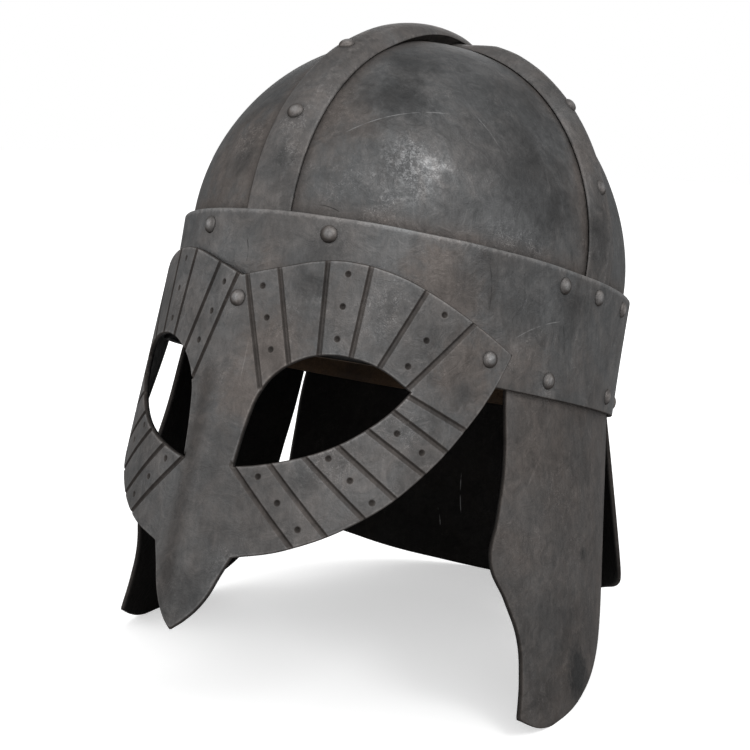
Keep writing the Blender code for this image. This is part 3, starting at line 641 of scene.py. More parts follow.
def make_hoop(name, grow, wall, height, slot, node, material, waver):
    """Upright hoop with rounded edges and a slightly uneven top."""
    bends = [(RIM_RADIUS * (1 - math.sin(bend)), RIM_RADIUS * (1 - math.cos(bend)))
             for bend in np.radians((0, 30, 60, 90))]
    profile = [(grow - aside, level, 0.0) for aside, level in bends]
    for share in np.linspace(0, 1, HOOP_ROWS)[1:-1]:
        level = RIM_RADIUS + (height - 2 * RIM_RADIUS) * share
        brightened = 1 - smoothstep((min(level, height - level) - 0.0002) / 0.0014)
        profile.append((grow, level, float(brightened)))
    profile += [(grow - aside, height - level, 1.0) for aside, level in bends[::-1]]
    outer_count = len(profile)
    profile += [(grow - wall, height - RIM_RADIUS, 0.5)]
    profile += [(grow - wall, height * share, 0.0) for share in np.linspace(0.9, 0.1, 8)]
    profile += [(grow - wall, RIM_RADIUS, 0.5)]
    profile = np.array(profile)
    inside = np.arange(len(profile)) >= outer_count
    angles = np.linspace(0, 360, HOOP_SECTIONS, endpoint=False)
    sections = []
    for angle in angles:
        turn = math.radians(angle)
        sway = noise.noise(Vector((math.cos(turn), math.sin(turn), grow)) * 4)
        dip = waver * (0.5 + 0.5 * sway)
        sections.append(on_hoop(angle, profile[:, 1] * (1 - dip / height), profile[:, 0]))
    # Painted shade: the band's lower rim behind the mask is marked dark like an inner face, and a dark
    # line runs along the outer lower edge
    behind_mask = np.abs((angles + 180) % 360 - 180) < 45
    shaded = behind_mask[:, None] & (profile[:, 1] <= RIM_RADIUS)[None]
    low_edge_shade = 0.9 * (profile[:, 1] < 0.6 * RIM_RADIUS) * ~inside
    lofted_piece(name, sections, slot, node, material, around=True,
                 worn=profile[:, 2], carved=low_edge_shade, inside=shaded | inside)


def dome_point(turn, across, lateral):
    """Point and outward normal under a strap, as in the solids."""
    half_run = DOME_HALF_WIDTH if lateral else DOME_HALF_LENGTH
    half_side = DOME_HALF_LENGTH if lateral else DOME_HALF_WIDTH
    shift = across - RIB_LATERAL_SET if lateral else across
    shrink = math.sqrt(1 - (shift / half_side) ** 2)
    angle = math.radians(min(max(turn, 0.0), 180.0))
    along = -half_run * shrink * math.cos(angle)
    rise = DOME_RISE * shrink * math.sin(angle)
    normal = unit(np.array((shift / half_side ** 2, along / half_run ** 2, rise / DOME_RISE ** 2)))
    point = np.array((shift, along, BAND_HEIGHT + rise))
    if lateral:
        return np.array((-point[1], point[0], point[2])), np.array((-normal[1], normal[0], normal[2]))
    return point, normal


def rib_rise(way, lateral):
    full_rise = RIB_LATERAL_RISE if lateral else RIB_FORE_AFT_RISE
    return full_rise * float(np.interp(way, *(LATERAL_RISES if lateral else FORE_AFT_RISES)))


def rib_lift(turn, lateral):
    if lateral:
        return GAP
    plateau = RIB_LATERAL_WIDTH / 2
    along = abs(-DOME_HALF_LENGTH * math.cos(math.radians(turn)) + RIB_LATERAL_SET)
    arch = 1 - float(smoothstep((along - plateau) / (RIB_ARCH_HALF_LENGTH - plateau)))
    return GAP + (RIB_EDGE + rib_rise(CROSSING_WAY, lateral=True) + GAP) * arch


def rib_heights(turn, share, lateral):
    lift = rib_lift(turn, lateral)
    crown = rib_rise(min(turn, 180 - turn) / 90, lateral) - (lift - GAP)
    outer = lift + RIB_EDGE + max(crown, 0.0) * (1 - share ** CROWN_POWER)
    return max(lift, outer - RIB_WALL), outer


def make_rib(name, node, lateral, material):
    """Crowned strap over the dome with softly rounded edges."""
    width = RIB_LATERAL_WIDTH if lateral else RIB_FORE_AFT_WIDTH
    rounding, rounded_from = 0.0005, 0.96
    filled_to, filled_past = 0.9, 1.12
    shares = np.concatenate([
        [-1.0, -0.985], np.linspace(-rounded_from, rounded_from, RIB_COLUMNS), [0.985, 1.0]])
    turns = np.concatenate([[0.0], np.linspace(0, 180, RIB_SECTIONS), [180.0]])
    sections = []
    for index, turn in enumerate(turns):
        sink = PANEL_TUCK if index in (0, len(turns) - 1) else 0.0
        section = []
        for row, order in ((1, shares), (0, shares[::-1])):
            for share in order:
                point, normal = dome_point(turn, share * width / 2, lateral)
                lift = rib_heights(turn, abs(share), lateral)[row]
                if row == 0 and not lateral and abs(share) < filled_to:
                    aside = abs(point[1] + RIB_LATERAL_SET) / (RIB_LATERAL_WIDTH / 2)
                    crown = rib_rise(CROSSING_WAY, lateral=True) * (1 - min(aside, 1.0) ** CROWN_POWER)
                    lift = GAP + (RIB_EDGE + GAP + crown) * (aside < filled_past)
                if row == 1:
                    past = max(0.0, (abs(share) - rounded_from) / (1 - rounded_from))
                    lift -= rounding * past ** 2
                section.append(point + normal * lift - np.array((0, 0, sink)))
        sections.append(section)
    # Lighter worn edges and a painted highlight stripe along one side of the crown; painted shade along
    # the fore-aft strap's edge on the negative x side; the underside painted a little dark as shade
    edge = (1 - np.abs(shares)) * width / 2
    brightened = 0.6 - 0.6 * smoothstep((edge - 0.0002) / 0.0018)
    brightened = np.maximum(brightened, 0.62 * np.exp(-((shares - 0.45) / 0.26) ** 2)) * (shares > -0.9)
    far_edge_shade = 0.95 * (shares < -0.95) * (not lateral)
    under = np.zeros(len(shares))
    lofted_piece(name, sections, "iron_rib", node, material, worn=np.concatenate([brightened, under]),
                 carved=np.concatenate([far_edge_shade, under]), inside=np.concatenate([under, under + 0.20]))


def make_panel(side_name, side, end_name, end, material):
    """Quarter of the dome from the band up to the crossing of the straps."""
    top_reach = 0.009
    highest = math.acos(top_reach / DOME_HALF_LENGTH)
    levels = np.concatenate([[-PANEL_TUCK, -PANEL_TUCK / 2], highest * np.linspace(0, 1, DOME_ROWS)])
    set_back = RIB_LATERAL_SET - end * PANEL_JOINT / 2
    sections, seam = [], []
    for level in levels:
        skirt = level < 0
        shrink = 1.0 if skirt else math.cos(level)
        height = BAND_HEIGHT + (level if skirt else DOME_RISE * math.sin(level))
        middle = math.asin(min(1.0, PANEL_JOINT / 2 / (DOME_HALF_WIDTH * shrink)))
        lateral = math.acos(min(1.0, set_back / (DOME_HALF_LENGTH * shrink)))
        turns = np.linspace(*((middle, lateral) if end < 0 else (lateral, math.pi - middle)), DOME_COLUMNS)
        outer = np.stack([side * DOME_HALF_WIDTH * shrink * np.sin(turns),
                          -DOME_HALF_LENGTH * shrink * np.cos(turns), np.full(DOME_COLUMNS, height)], -1)
        facing = outer / np.array((DOME_HALF_WIDTH, DOME_HALF_LENGTH, DOME_RISE)) ** 2
        facing[:, 2] = 0 if skirt else (height - BAND_HEIGHT) / DOME_RISE ** 2
        inner = outer - unit_rows(facing) * PANEL_WALL
        sections.append(np.concatenate([outer, inner[::-1]]))
        from_rib = np.minimum(np.abs(outer[:, 0]) - RIB_FORE_AFT_WIDTH / 2,
                              np.abs(outer[:, 1] + RIB_LATERAL_SET) - RIB_LATERAL_WIDTH / 2)
        near = 1 - smoothstep(np.minimum(from_rib, height - BAND_HEIGHT) / SEAM_REACH)
        seam.append(np.concatenate([near, np.zeros(DOME_COLUMNS)]))
    node = f"panel_{end_name}_{side_name}"
    lofted_piece("forged_" + node, sections, "iron_dome", node, material,
                 inside=np.repeat((0.0, 1.0), DOME_COLUMNS), seam=seam)


def hoop_seats(rows):
    """Place and facing of each rivet round the hoop, and of its twin on the other side."""
    seats = []
    for angle, height, grow in rows:
        for turn in (angle, -angle) if angle % 180 else (angle,):
            seats.append((on_hoop(turn, height, grow), hoop_normal(turn, grow)))
    return seats


def rib_seats(lateral):
    seats = []
    for way in RIB_RIVET_WAYS:
        for turn in (90 * way, 180 - 90 * way):
            point, normal = dome_point(turn, 0, lateral)
            height = rib_heights(turn, 0, lateral)[1]
            seats.append((point + normal * (height - RIB_RIVET_SINK), normal))
    return seats


class Tree:
    """Short hand for the nodes of one tree."""

    def __init__(self, tree):
        self.tree = tree

    def node(self, kind, *values, **named):
        """New node: values for its first sockets, capital names for sockets, small ones for settings."""
        made = self.tree.nodes.new(kind)
        for key, value in named.items():
            if key.islower():
                setattr(made, key, value)
        for key, value in [*enumerate(values), *named.items()]:
            if not str(key).islower():
                self.feed(made.inputs[key], value)
        return made

    def feed(self, socket, value):
        """Give a socket a value, another socket or a node's first output."""
        if isinstance(value, bpy.types.Node):
            value = value.outputs[0]
        if isinstance(value, bpy.types.NodeSocket):
            self.tree.links.new(value, socket)
        elif value is not None:
            socket.default_value = value

    def math(self, operation, *values, clamp=False):
        return self.node("ShaderNodeMath", *values, operation=operation, use_clamp=clamp)

    def plus(self, *values, clamp=False):
        return self.math("ADD", *values, clamp=clamp)

    def less(self, *values):
        return self.math("SUBTRACT", *values)

    def times(self, *values, clamp=False):
        return self.math("MULTIPLY", *values, clamp=clamp)

    def most(self, found, *others):
        """The highest of the values."""
        for value in others:
            found = self.math("MAXIMUM", found, value)
        return found

    def vector(self, operation, *values, **named):
        made = self.node("ShaderNodeVectorMath", *values, operation=operation, **named)
        return made.outputs["Value" if operation in ("DOT_PRODUCT", "DISTANCE") else "Vector"]

    def noise(self, place, scale, detail=4.0, roughness=0.6, distortion=0.0):
        return self.node("ShaderNodeTexNoise", Vector=place, Scale=scale, Detail=detail,
                         Roughness=roughness, Distortion=distortion)

    def ramp(self, value, low, high, out_low=0.0, out_high=1.0, kind="LINEAR"):
        return self.node("ShaderNodeMapRange", value, low, high, out_low, out_high,
                         interpolation_type=kind)

    def toned(self, tone, mask, full):
        """The tone, multiplied by full where the mask is 1."""
        return self.times(tone, self.ramp(mask, 0.0, 1.0, 1.0, full))

    def blend(self, share, first, second):
        unused = [None] * 5
        return self.node("ShaderNodeMix", share, *unused, first, second, data_type="RGBA").outputs[2]

    def group(self, name, **inputs):
        tree = bpy.data.node_groups[name]
        return self.node("ShaderNodeGroup", node_tree=tree, **inputs).outputs


def new_group(name, inputs, *outputs):
    """Empty shader group: vectors and numbers in, numbers out."""
    tree = bpy.data.node_groups.new(name, "ShaderNodeTree")
    for label, value in inputs.items():
        kind = "NodeSocketVector" if value is None else "NodeSocketFloat"
        socket = tree.interface.new_socket(label, in_out="INPUT", socket_type=kind)
        if value is not None:
            socket.default_value = value
    for label in outputs:
        tree.interface.new_socket(label, in_out="OUTPUT", socket_type="NodeSocketFloat")
    t = Tree(tree)
    return t, t.node("NodeGroupInput").outputs, t.node("NodeGroupOutput").inputs


def patina_group():
    """Clouds, brown bloom, upright grinding streaks, grain and specks of old oiled iron."""
    t, start, end = new_group(
        "iron_patina", {"Vector": None, "Shift": None}, "Tone", "Warmth", "Grain", "Height")
    place = t.vector("ADD", start["Vector"], start["Shift"])
    clouds = t.noise(place, 38.0, 6.0, 0.60, 0.8)
    blots = t.noise(place, 120.0, 5.0, 0.64, 1.0)
    upright = t.node("ShaderNodeMapping", Vector=place, Scale=(520.0, 520.0, 80.0))
    streaks = t.noise(upright, 1.0, 4.0, 0.62, 0.4)
    grain = t.noise(place, 520.0, 4.0, 0.68, 0.5)
    specks = t.noise(place, 1500.0, 2.0, 0.6)
    tone = t.ramp(clouds, 0.32, 0.68, 0.82, 1.18)
    tone = t.times(tone, t.ramp(blots, 0.30, 0.70, 0.82, 1.18))
    tone = t.times(tone, t.ramp(streaks, 0.30, 0.70, 0.90, 1.10))
    tone = t.times(tone, t.ramp(grain, 0.25, 0.75, 0.88, 1.12))
    t.feed(end["Tone"], t.times(tone, t.ramp(specks, 0.25, 0.75, 0.93, 1.07)))
    warmth = t.times(t.ramp(t.noise(place, 26.0, 6.0, 0.66, 0.8), 0.40, 0.60), 0.75)
    t.feed(end["Warmth"], t.plus(warmth, t.ramp(blots, 0.42, 0.62, 0.0, 0.35)))
    t.feed(end["Grain"], t.ramp(grain, 0.3, 0.7))
    height = t.plus(t.times(blots, 1.3), t.times(grain, 0.30))
    height = t.plus(height, t.times(streaks, 0.12))
    t.feed(end["Height"], t.plus(height, t.times(specks, 0.05)))


def scratches_group():
    """A few hair-thin scratches that run three ways."""
    t, start, end = new_group("hair_scratches", {"Vector": None, "Density": 0.5}, "Lines")
    lines = []
    for turn, stretch in (((0.3, 0.5, 0.2), 900.0), ((1.2, -0.4, 0.9), 1100.0), ((-0.7, 1.0, 2.0), 800.0)):
        drawn = t.node("ShaderNodeMapping", Vector=start["Vector"], Rotation=turn,
                       Scale=(stretch, 22.0, 22.0))
        lines.append(t.ramp(t.noise(drawn, 1.0, 1.0, 0.4), 0.76, 0.84))
    where = t.plus(t.noise(start["Vector"], 35.0, 3.0, 0.6), t.times(start["Density"], 0.2))
    t.feed(end["Lines"], t.times(t.most(*lines), t.ramp(where, 0.60, 0.75)))


def crackle_group():
    """Fine crazed lines, as where scale has flaked and the metal was burnished bright."""
    t, start, end = new_group("crazed_scale", {"Vector": None, "Scale": 560.0}, "Lines")
    wander = t.noise(start["Vector"], start["Scale"], 3.0, 0.64, 0.7)
    lines = t.ramp(t.math("ABSOLUTE", t.less(wander, 0.5)), 0.006, 0.042, 1.0, 0.0)
    broken = t.ramp(t.noise(start["Vector"], 260.0, 3.0, 0.6), 0.40, 0.56)
    t.feed(end["Lines"], t.times(lines, broken))


def patch_group():
    """Soft ragged spot round one place."""
    t, start, end = new_group("ragged_patch", {"Vector": None, "Centre": None, "Radius": 0.02}, "Mask")
    away = t.vector("DISTANCE", start["Vector"], start["Centre"])
    ragged = t.noise(start["Vector"], 130.0, 5.0, 0.66, 0.6)
    reach = t.plus(t.math("DIVIDE", away, start["Radius"]), t.times(t.less(ragged, 0.5), 1.8))
    t.feed(end["Mask"], t.ramp(reach, 0.2, 1.15, 1.0, 0.0, "SMOOTHSTEP"))


def drawn_scratch_group():
    """One long bowed scratch: where a plane through its ends meets the surface."""
    inputs = {"Vector": None, "Start": None, "Run": None, "Across": None, "Width": 0.0002, "Bow": 0.0}
    t, start, end = new_group("drawn_scratch", inputs, "Line")
    offset = t.vector("SUBTRACT", start["Vector"], start["Start"])
    length = t.vector("DOT_PRODUCT", start["Run"], start["Run"])
    share = t.math("DIVIDE", t.vector("DOT_PRODUCT", offset, start["Run"]), length)
    taper = t.times(t.times(share, t.less(1.0, share)), 4.0)
    aside = t.less(t.vector("DOT_PRODUCT", offset, start["Across"]), t.times(taper, start["Bow"]))
    thin = t.ramp(t.math("DIVIDE", t.math("ABSOLUTE", aside), start["Width"]), 0.3, 1.4, 1.0, 0.0)
    broken = t.ramp(t.noise(start["Vector"], 160.0, 2.0), 0.36, 0.55)
    t.feed(end["Line"], t.times(t.times(thin, t.ramp(taper, 0.0, 0.35)), broken))


def patched(t, place, patches):
    """Strongest of the patches at each point."""
    masks = []
    for *centre, radius, strength in patches:
        mask = t.group("ragged_patch", Vector=place, Radius=radius / 1000,
                       Centre=tuple(tipped(np.array(centre) / 1000)[0]))["Mask"]
        masks.append(t.times(mask, strength))
    return t.most(*masks)


def new_material(name):
    """A material, its tree, its shader's sockets and the place on the object."""
    material = bpy.data.materials.new(name)
    material.use_nodes = True
    t = Tree(material.node_tree)
    place = t.node("ShaderNodeTexCoord").outputs["Object"]
    return material, t, t.tree.nodes["Principled BSDF"].inputs, place


def iron(name, grey, warmth, shift, roughness, seams=0.0, stains=(), scuffs=(), rust=(), rubs_and_highlights=(),
         scratches=()):
    """Oiled, well-used iron: clouded colour, brown bloom, soiling and painted shade in the cuts, lighter
    edges from abrasion and painted highlights, and inner faces painted dark as shade.
    """
    material, t, shader, place = new_material(name)
    patina = t.group("iron_patina", Vector=place, Shift=shift)
    lines = t.group("hair_scratches", Vector=place, Density=0.5)["Lines"]
    crackle = t.group("crazed_scale", Vector=place, Scale=560.0)["Lines"]
    worn, carved, inside, seam = (
        t.node("ShaderNodeAttribute", attribute_name=label).outputs["Fac"] for label in SURFACE_MARKS)
    tone = patina["Tone"]
    rough = t.ramp(patina["Grain"], 0.0, 1.0, roughness - 0.05, roughness + 0.07)
    warm = t.plus(t.times(patina["Warmth"], 0.50), warmth)
    if rust:
        warm = t.plus(warm, patched(t, place, rust))
    # Warmer soiling near the seams; the narrow darkening right at them is soiling and painted contact
    # shade
    if seams:
        warm = t.plus(warm, t.times(seam, seams))
        tone = t.toned(tone, t.math("POWER", seam, 6.0), 0.72)
    warm = t.plus(warm, t.times(carved, 0.8), clamp=True)
    if stains:
        stain = patched(t, place, stains)
        tone = t.toned(tone, stain, 0.48)
        warm = t.times(warm, t.less(1.0, t.times(stain, 0.7)))
    scuff = t.times(t.ramp(t.noise(place, 55.0, 4.0, 0.65), 0.50, 0.66), 0.50)
    if scuffs:
        scuff = t.most(scuff, patched(t, place, scuffs))
    crazed = t.times(crackle, scuff)
    tone = t.toned(t.toned(tone, crazed, 2.0), lines, 1.30)
    # Burnished patches with bright flecks, and a painted highlight on the smoother one
    if rubs_and_highlights:
        rub_and_highlight, polish_and_highlight = patched(t, place, rubs_and_highlights), patched(t, place, rubs_and_highlights[1:])
        fleck = t.ramp(t.noise(place, 640.0, 4.0, 0.72, 0.5), 0.48, 0.62)
        bright = t.times(rub_and_highlight, t.most(fleck, crackle))
        tone = t.toned(t.toned(t.toned(tone, rub_and_highlight, 1.15), bright, 2.1), polish_and_highlight, 1.25)
        rough = t.less(rough, t.times(t.most(bright, polish_and_highlight), 0.13))
    # Wear and painted highlights lighten the iron
    edge = t.plus(worn, t.times(t.less(patina["Grain"], 0.5), 0.35))
    tone = t.times(tone, t.ramp(edge, 0.42, 1.02, 1.0, 1.65, "SMOOTHSTEP"))
    # Soiling and painted shade darken it
    tone = t.toned(tone, carved, 0.36)
    marks = t.plus(t.times(crackle, 0.05), t.times(lines, 0.5))
    # Inner faces painted dark as shade, their scratches still showing
    tone = t.node("ShaderNodeMix", inside, None, tone, t.plus(t.times(tone, 0.14), marks))
    colour = t.vector("SCALE", t.blend(warm, COOL_TINT, WARM_TINT), Scale=t.times(tone, grey))
    for *ends, width, bow, shade in scratches:
        begin, stop = tipped(np.array(ends) / 1000)
        outwards = direction(np.array(ends[:3]) / 1000 * np.array((1, 1, 0.4)))
        line = t.group("drawn_scratch", Vector=place, Start=tuple(begin), Run=tuple(stop - begin),
                       Across=tuple(unit(np.cross(outwards, stop - begin))),
                       Width=width / 1000, Bow=bow / 1000)["Line"]
        colour = t.blend(t.times(line, 0.75), colour, (shade, shade, shade, 1))
    t.feed(shader["Base Color"], colour)
    shader["Metallic"].default_value = 0.75
    shader["Specular IOR Level"].default_value = 0.3
    shader["Specular Tint"].default_value = (0.45, 0.45, 0.45, 1)
    t.feed(shader["Roughness"], t.plus(rough, t.times(carved, 0.15), clamp=True))
    height = t.less(t.less(patina["Height"], t.times(crazed, 0.20)), t.times(lines, 0.15))
    t.feed(shader["Normal"], t.node("ShaderNodeBump", Height=height, Strength=0.55, Distance=0.0009))
    return material


def leather(name):
    """Brown leather with a pebbled face and darker creases."""
    material, t, shader, place = new_material(name)
    blotch = t.ramp(t.noise(place, 45.0, 5.0, 0.6), 0.35, 0.65)
    pebble = t.node("ShaderNodeTexVoronoi", Vector=place, Scale=900.0)
    colour = t.blend(blotch, (0.045, 0.026, 0.014, 1), (0.120, 0.070, 0.036, 1))
    colour = t.blend(t.times(pebble, 0.5, clamp=True), colour, (0.016, 0.010, 0.006, 1))
    t.feed(shader["Base Color"], colour)
    t.feed(shader["Roughness"], t.ramp(blotch, 0.0, 1.0, 0.62, 0.85))
    t.feed(shader["Normal"], t.node("ShaderNodeBump", Height=pebble, Strength=0.35, Distance=0.0004))
    return material


def rivet_tree(material, sizes):
    """Geometry nodes: a domed head and a shank on every seat, each hammered a little differently."""
    tree = bpy.data.node_groups.new("hammered_rivets", "GeometryNodeTree")
    tree.interface.new_socket("Geometry", in_out="INPUT", socket_type="NodeSocketGeometry")
    for label in sizes:
        tree.interface.new_socket(label, in_out="INPUT", socket_type="NodeSocketFloat")
    tree.interface.new_socket("Geometry", in_out="OUTPUT", socket_type="NodeSocketGeometry")
    t = Tree(tree)
    start = t.node("NodeGroupInput").outputs
    ball = t.node("GeometryNodeMeshUVSphere", Segments=28, Rings=16, Radius=1.0)
    spot = t.node("ShaderNodeSeparateXYZ", t.node("GeometryNodeInputPosition")).outputs
    dome = t.node("ShaderNodeCombineXYZ", t.times(spot["X"], start["Head Radius"]),
                  t.times(spot["Y"], start["Head Radius"]),
                  t.times(t.math("MAXIMUM", spot["Z"], -0.12), start["Head Height"]))
    head = t.node("GeometryNodeSetPosition", ball, Position=dome)
    shank = t.node("GeometryNodeMeshCylinder", Vertices=20, Radius=start["Shank Radius"],
                   Depth=start["Shank Length"])
    sink = t.node("ShaderNodeCombineXYZ", Z=t.times(start["Shank Length"], -0.5))
    rivet = t.node("GeometryNodeJoinGeometry", head)
    t.feed(rivet.inputs[0], t.node("GeometryNodeTransform", shank, Translation=sink))
    facing = t.node("GeometryNodeInputNamedAttribute", data_type="FLOAT_VECTOR", Name="facing")
    turned = t.node("FunctionNodeAlignRotationToVector", axis="Z", Vector=facing)
    size = t.node("FunctionNodeRandomValue", data_type="FLOAT_VECTOR", Min=(0.95, 0.95, 0.92),
                  Max=(1.06, 1.06, 1.06), Seed=7)
    made = t.node("GeometryNodeInstanceOnPoints", start["Geometry"], Instance=rivet,
                  Rotation=turned, Scale=size)
    made = t.node("GeometryNodeRealizeInstances", made)
    ripple = t.node("ShaderNodeTexNoise", Scale=420.0, Detail=1.0).outputs["Color"]
    push = t.vector("SCALE", t.vector("SUBTRACT", ripple, (0.5, 0.5, 0.5)), Scale=start["Unevenness"])
    made = t.node("GeometryNodeSetPosition", made, Offset=push)
    made = t.node("GeometryNodeSetShadeSmooth", made)
    made = t.node("GeometryNodeSetMaterial", made, Material=material)
    t.node("NodeGroupOutput", made)
    return tree


def make_rivets(material):
    """All rivets in one piece, grown on points at their seats."""
    brow, low = BAND_HEIGHT - RIVET_TOP_MARGIN, RIVET_LOW_MARGIN
    groups = {
        "brow": hoop_seats((angle, brow, 0.0) for angle in BAND_TOP_RIVETS),
        "cheek": hoop_seats((angle, low, 0.0) for angle in CHEEK_RIVETS),
        "neck": hoop_seats((angle, low, 0.0) for angle in NECK_RIVETS),
        "mask": hoop_seats((angle, mask_height(share), float(mask_grow(angle, mask_height(share))))
                           for angle, share in MASK_RIVETS),
        "fore_aft": rib_seats(False),
        "lateral": rib_seats(True),
    }
    nodes = [f"rivet_{group}_{index + 1}" for group, rows in groups.items() for index in range(len(rows))]
    places, normals = zip(*(seat for rows in groups.values() for seat in rows))
    points = tipped(forged(places))
    facings = np.array([direction(normal) for normal in normals])
    mesh = bpy.data.meshes.new("rivet_seats")
    mesh.from_pydata(points.tolist(), [], [])
    attribute = mesh.attributes.new("facing", "FLOAT_VECTOR", "POINT")
    attribute.data.foreach_set("vector", facings.astype(np.float32).ravel())
    holder = in_scene("rivet_seats", mesh)
    sizes = {"Head Radius": RIVET_CAP_RADIUS, "Head Height": RIVET_CAP_HEIGHT,
             "Shank Radius": RIVET_SHANK_RADIUS, "Shank Length": RIVET_SHANK_LENGTH,
             "Unevenness": RIVET_UNEVENNESS}
    modifier = holder.modifiers.new("rivets", "NODES")
    modifier.node_group = rivet_tree(material, sizes)
    for item in modifier.node_group.interface.items_tree:
        if item.name in sizes:
            modifier[item.identifier] = sizes[item.name]
    result = plain_mesh(holder)
    spots = np.array([vert.co for vert in result.vertices])
    index = np.argmin(((spots[:, None] - points[None]) ** 2).sum(2), axis=1)
    offset = spots - points[index]
    heights = (offset * facings[index]).sum(1)
    flat = offset - facings[index] * heights[:, None]
    # Painted shade: a dark rim round each head, strongest on the side away from the light; painted
    # highlight on the cap's side towards the light
    ring = smoothstep((np.linalg.norm(flat, axis=1) / RIVET_CAP_RADIUS - 0.30) / 0.50)
    lit = flat @ np.array(LIGHT_FROM) / RIVET_CAP_RADIUS
    write_marks(result, worn=smoothstep(0.65 + lit) * smoothstep(heights / RIVET_CAP_HEIGHT),
                carved=ring * (0.35 + 0.90 * smoothstep(0.50 - 1.2 * lit)), inside=heights < -0.002)
    stand_for(in_scene("hammered_rivets", result), "iron_rivet", nodes)


def bare_tree(data):
    data.use_nodes = True
    data.node_tree.nodes.clear()
    return Tree(data.node_tree)


def make_floor():
    """Pale floor: white to the camera with its soft shadow, a little duller in reflections."""
    material = bpy.data.materials.new("pale_floor")
    t = bare_tree(material)
    seen = t.node("ShaderNodeBsdfDiffuse", Color=(0.90, 0.90, 0.90, 1))
    glow = t.node("ShaderNodeEmission", Color=(1, 1, 1, 1), Strength=0.50)
    dull = t.node("ShaderNodeBsdfDiffuse", Color=(0.50, 0.50, 0.50, 1))
    camera_ray = t.node("ShaderNodeLightPath").outputs["Is Camera Ray"]
    lit = t.node("ShaderNodeAddShader", seen, glow)
    t.node("ShaderNodeOutputMaterial", Surface=t.node("ShaderNodeMixShader", camera_ray, dull, lit))
    half = 8.0
    corners = [(-half, -half, 0), (half, -half, 0), (half, half, 0), (-half, half, 0)]
    mesh = bpy.data.meshes.new("floor")
    mesh.from_pydata(corners, [], [(0, 1, 2, 3)])
    mesh.materials.append(material)
    in_scene("floor", mesh)


def make_room():
    """White backdrop with softer light on the object: brightest in front, dimmer round the sides."""
    world = bpy.context.scene.world = bpy.data.worlds.new("pale_room")
    t = bare_tree(world)
    towards = t.node("ShaderNodeTexCoord").outputs["Generated"]
    facing = t.vector("DOT_PRODUCT", towards, tuple(Vector(LIGHT_FROM).normalized()))
    camera_ray = t.node("ShaderNodeLightPath").outputs["Is Camera Ray"]
    strength = t.node("ShaderNodeMix", camera_ray, None, t.ramp(facing, -0.6, 1.0, 0.56, 1.09), 1.0)
    sky = t.node("ShaderNodeBackground", Color=(1, 1, 1, 1), Strength=strength)
    t.node("ShaderNodeOutputWorld", Surface=sky)


def make_stage():
    """Floor, room, soft lights and the camera."""
    bpy.context.scene.view_settings.view_transform = "Standard"
    make_floor()
    make_room()
    for name, towards, distance, size, power in (
            ("key_light", (0.636, -0.257, 0.728), 1.5, 0.50, 4.0),
            ("fill_light", (-0.80, -0.50, 0.35), 1.6, 0.9, 2.2),
            ("back_light", (-0.45, 0.85, 0.30), 1.6, 0.9, 5.0)):
        light = bpy.data.lights.new(name, "AREA")
        light.shape = "DISK"
        light.size = size
        light.energy = power
        aim = Vector(towards).normalized()
        in_scene(name, light).matrix_world = Matrix.Translation(Vector((0, 0, 0.15)) + aim * distance) \
            @ aim.to_track_quat("Z", "Y").to_matrix().to_4x4()
    camera = bpy.data.cameras.new("photo_camera")
    camera.lens = CAMERA_LENS
    camera.sensor_width = 36.0
    viewer = in_scene("photo_camera", camera)
    right, up = Vector(direction(CAMERA_RIGHT)), Vector(direction(CAMERA_UP))
    turn = Matrix((right, up, right.cross(up))).transposed().to_4x4()
    viewer.matrix_world = Matrix.Translation(Vector(tipped(CAMERA_PLACE)[0])) @ turn
    bpy.context.scene.camera = viewer


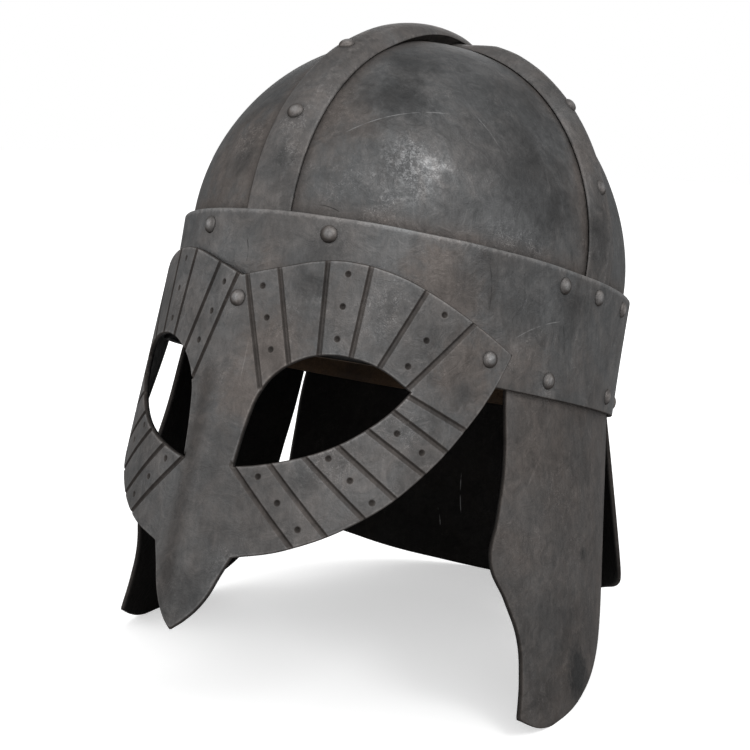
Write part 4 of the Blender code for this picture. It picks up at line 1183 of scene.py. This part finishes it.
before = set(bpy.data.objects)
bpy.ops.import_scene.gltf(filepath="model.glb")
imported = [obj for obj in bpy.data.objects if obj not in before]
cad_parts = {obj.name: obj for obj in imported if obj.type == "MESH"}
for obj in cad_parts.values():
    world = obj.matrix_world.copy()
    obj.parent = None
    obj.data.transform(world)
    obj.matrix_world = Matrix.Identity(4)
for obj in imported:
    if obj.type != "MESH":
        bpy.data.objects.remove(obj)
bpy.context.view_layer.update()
make_stage()
for make_group in (patina_group, scratches_group, crackle_group, patch_group, drawn_scratch_group):
    make_group()
band_iron = iron("worn_band_iron", 0.132, 0.0, (0.3, 0.1, 0.0), 0.52, stains=BAND_STAINS,
                 scuffs=BAND_SCUFFS, rust=BAND_RUST, scratches=BAND_SCRATCHES)
dome_iron = iron("scuffed_dome_iron", 0.113, -0.15, (0.0, 0.0, 0.0), 0.52, 0.7, DOME_STAINS,
                 DOME_SCUFFS, DOME_RUST, DOME_RUBS_AND_HIGHLIGHT, DOME_SCRATCHES)
rib_iron = iron("worn_rib_iron", 0.125, 0.20, (0.7, 0.2, 0.4), 0.52, stains=RIB_STAINS,
                scuffs=RIB_SCUFFS)
mask_iron = iron("engraved_mask_iron", 0.127, 0.05, (0.1, 0.9, 0.3), 0.52, stains=MASK_STAINS,
                 scuffs=MASK_SCUFFS, rust=MASK_RUST)
guard_iron = iron("dark_guard_iron", 0.111, 0.45, (0.5, 0.5, 0.8), 0.55, stains=GUARD_STAINS,
                  scuffs=GUARD_SCUFFS, scratches=GUARD_SCRATCHES)
rivet_iron = iron("rivet_iron_painted_light", 0.165, 0.1, (0.2, 0.6, 0.1), 0.40)
lining_leather = leather("brown_lining_leather")

make_hoop("forged_brow_band", 0.0, BAND_WALL, BAND_HEIGHT, "iron_band", "brow_band", band_iron, 0.0007)
make_hoop("leather_lining", LINING_GROW, LINING_WALL, LINING_HEIGHT, "leather_lining", "lining_band",
          lining_leather, 0.002)
for end_name, end in (("front", -1), ("rear", 1)):
    for side_name, side in (("left", 1), ("right", -1)):
        make_panel(side_name, side, end_name, end, dome_iron)
make_rib("crowned_rib_fore_aft", "rib_fore_aft", False, rib_iron)
make_rib("crowned_rib_lateral", "rib_lateral", True, rib_iron)
make_mask(mask_iron)
make_guards(guard_iron)
make_rivets(rivet_iron)
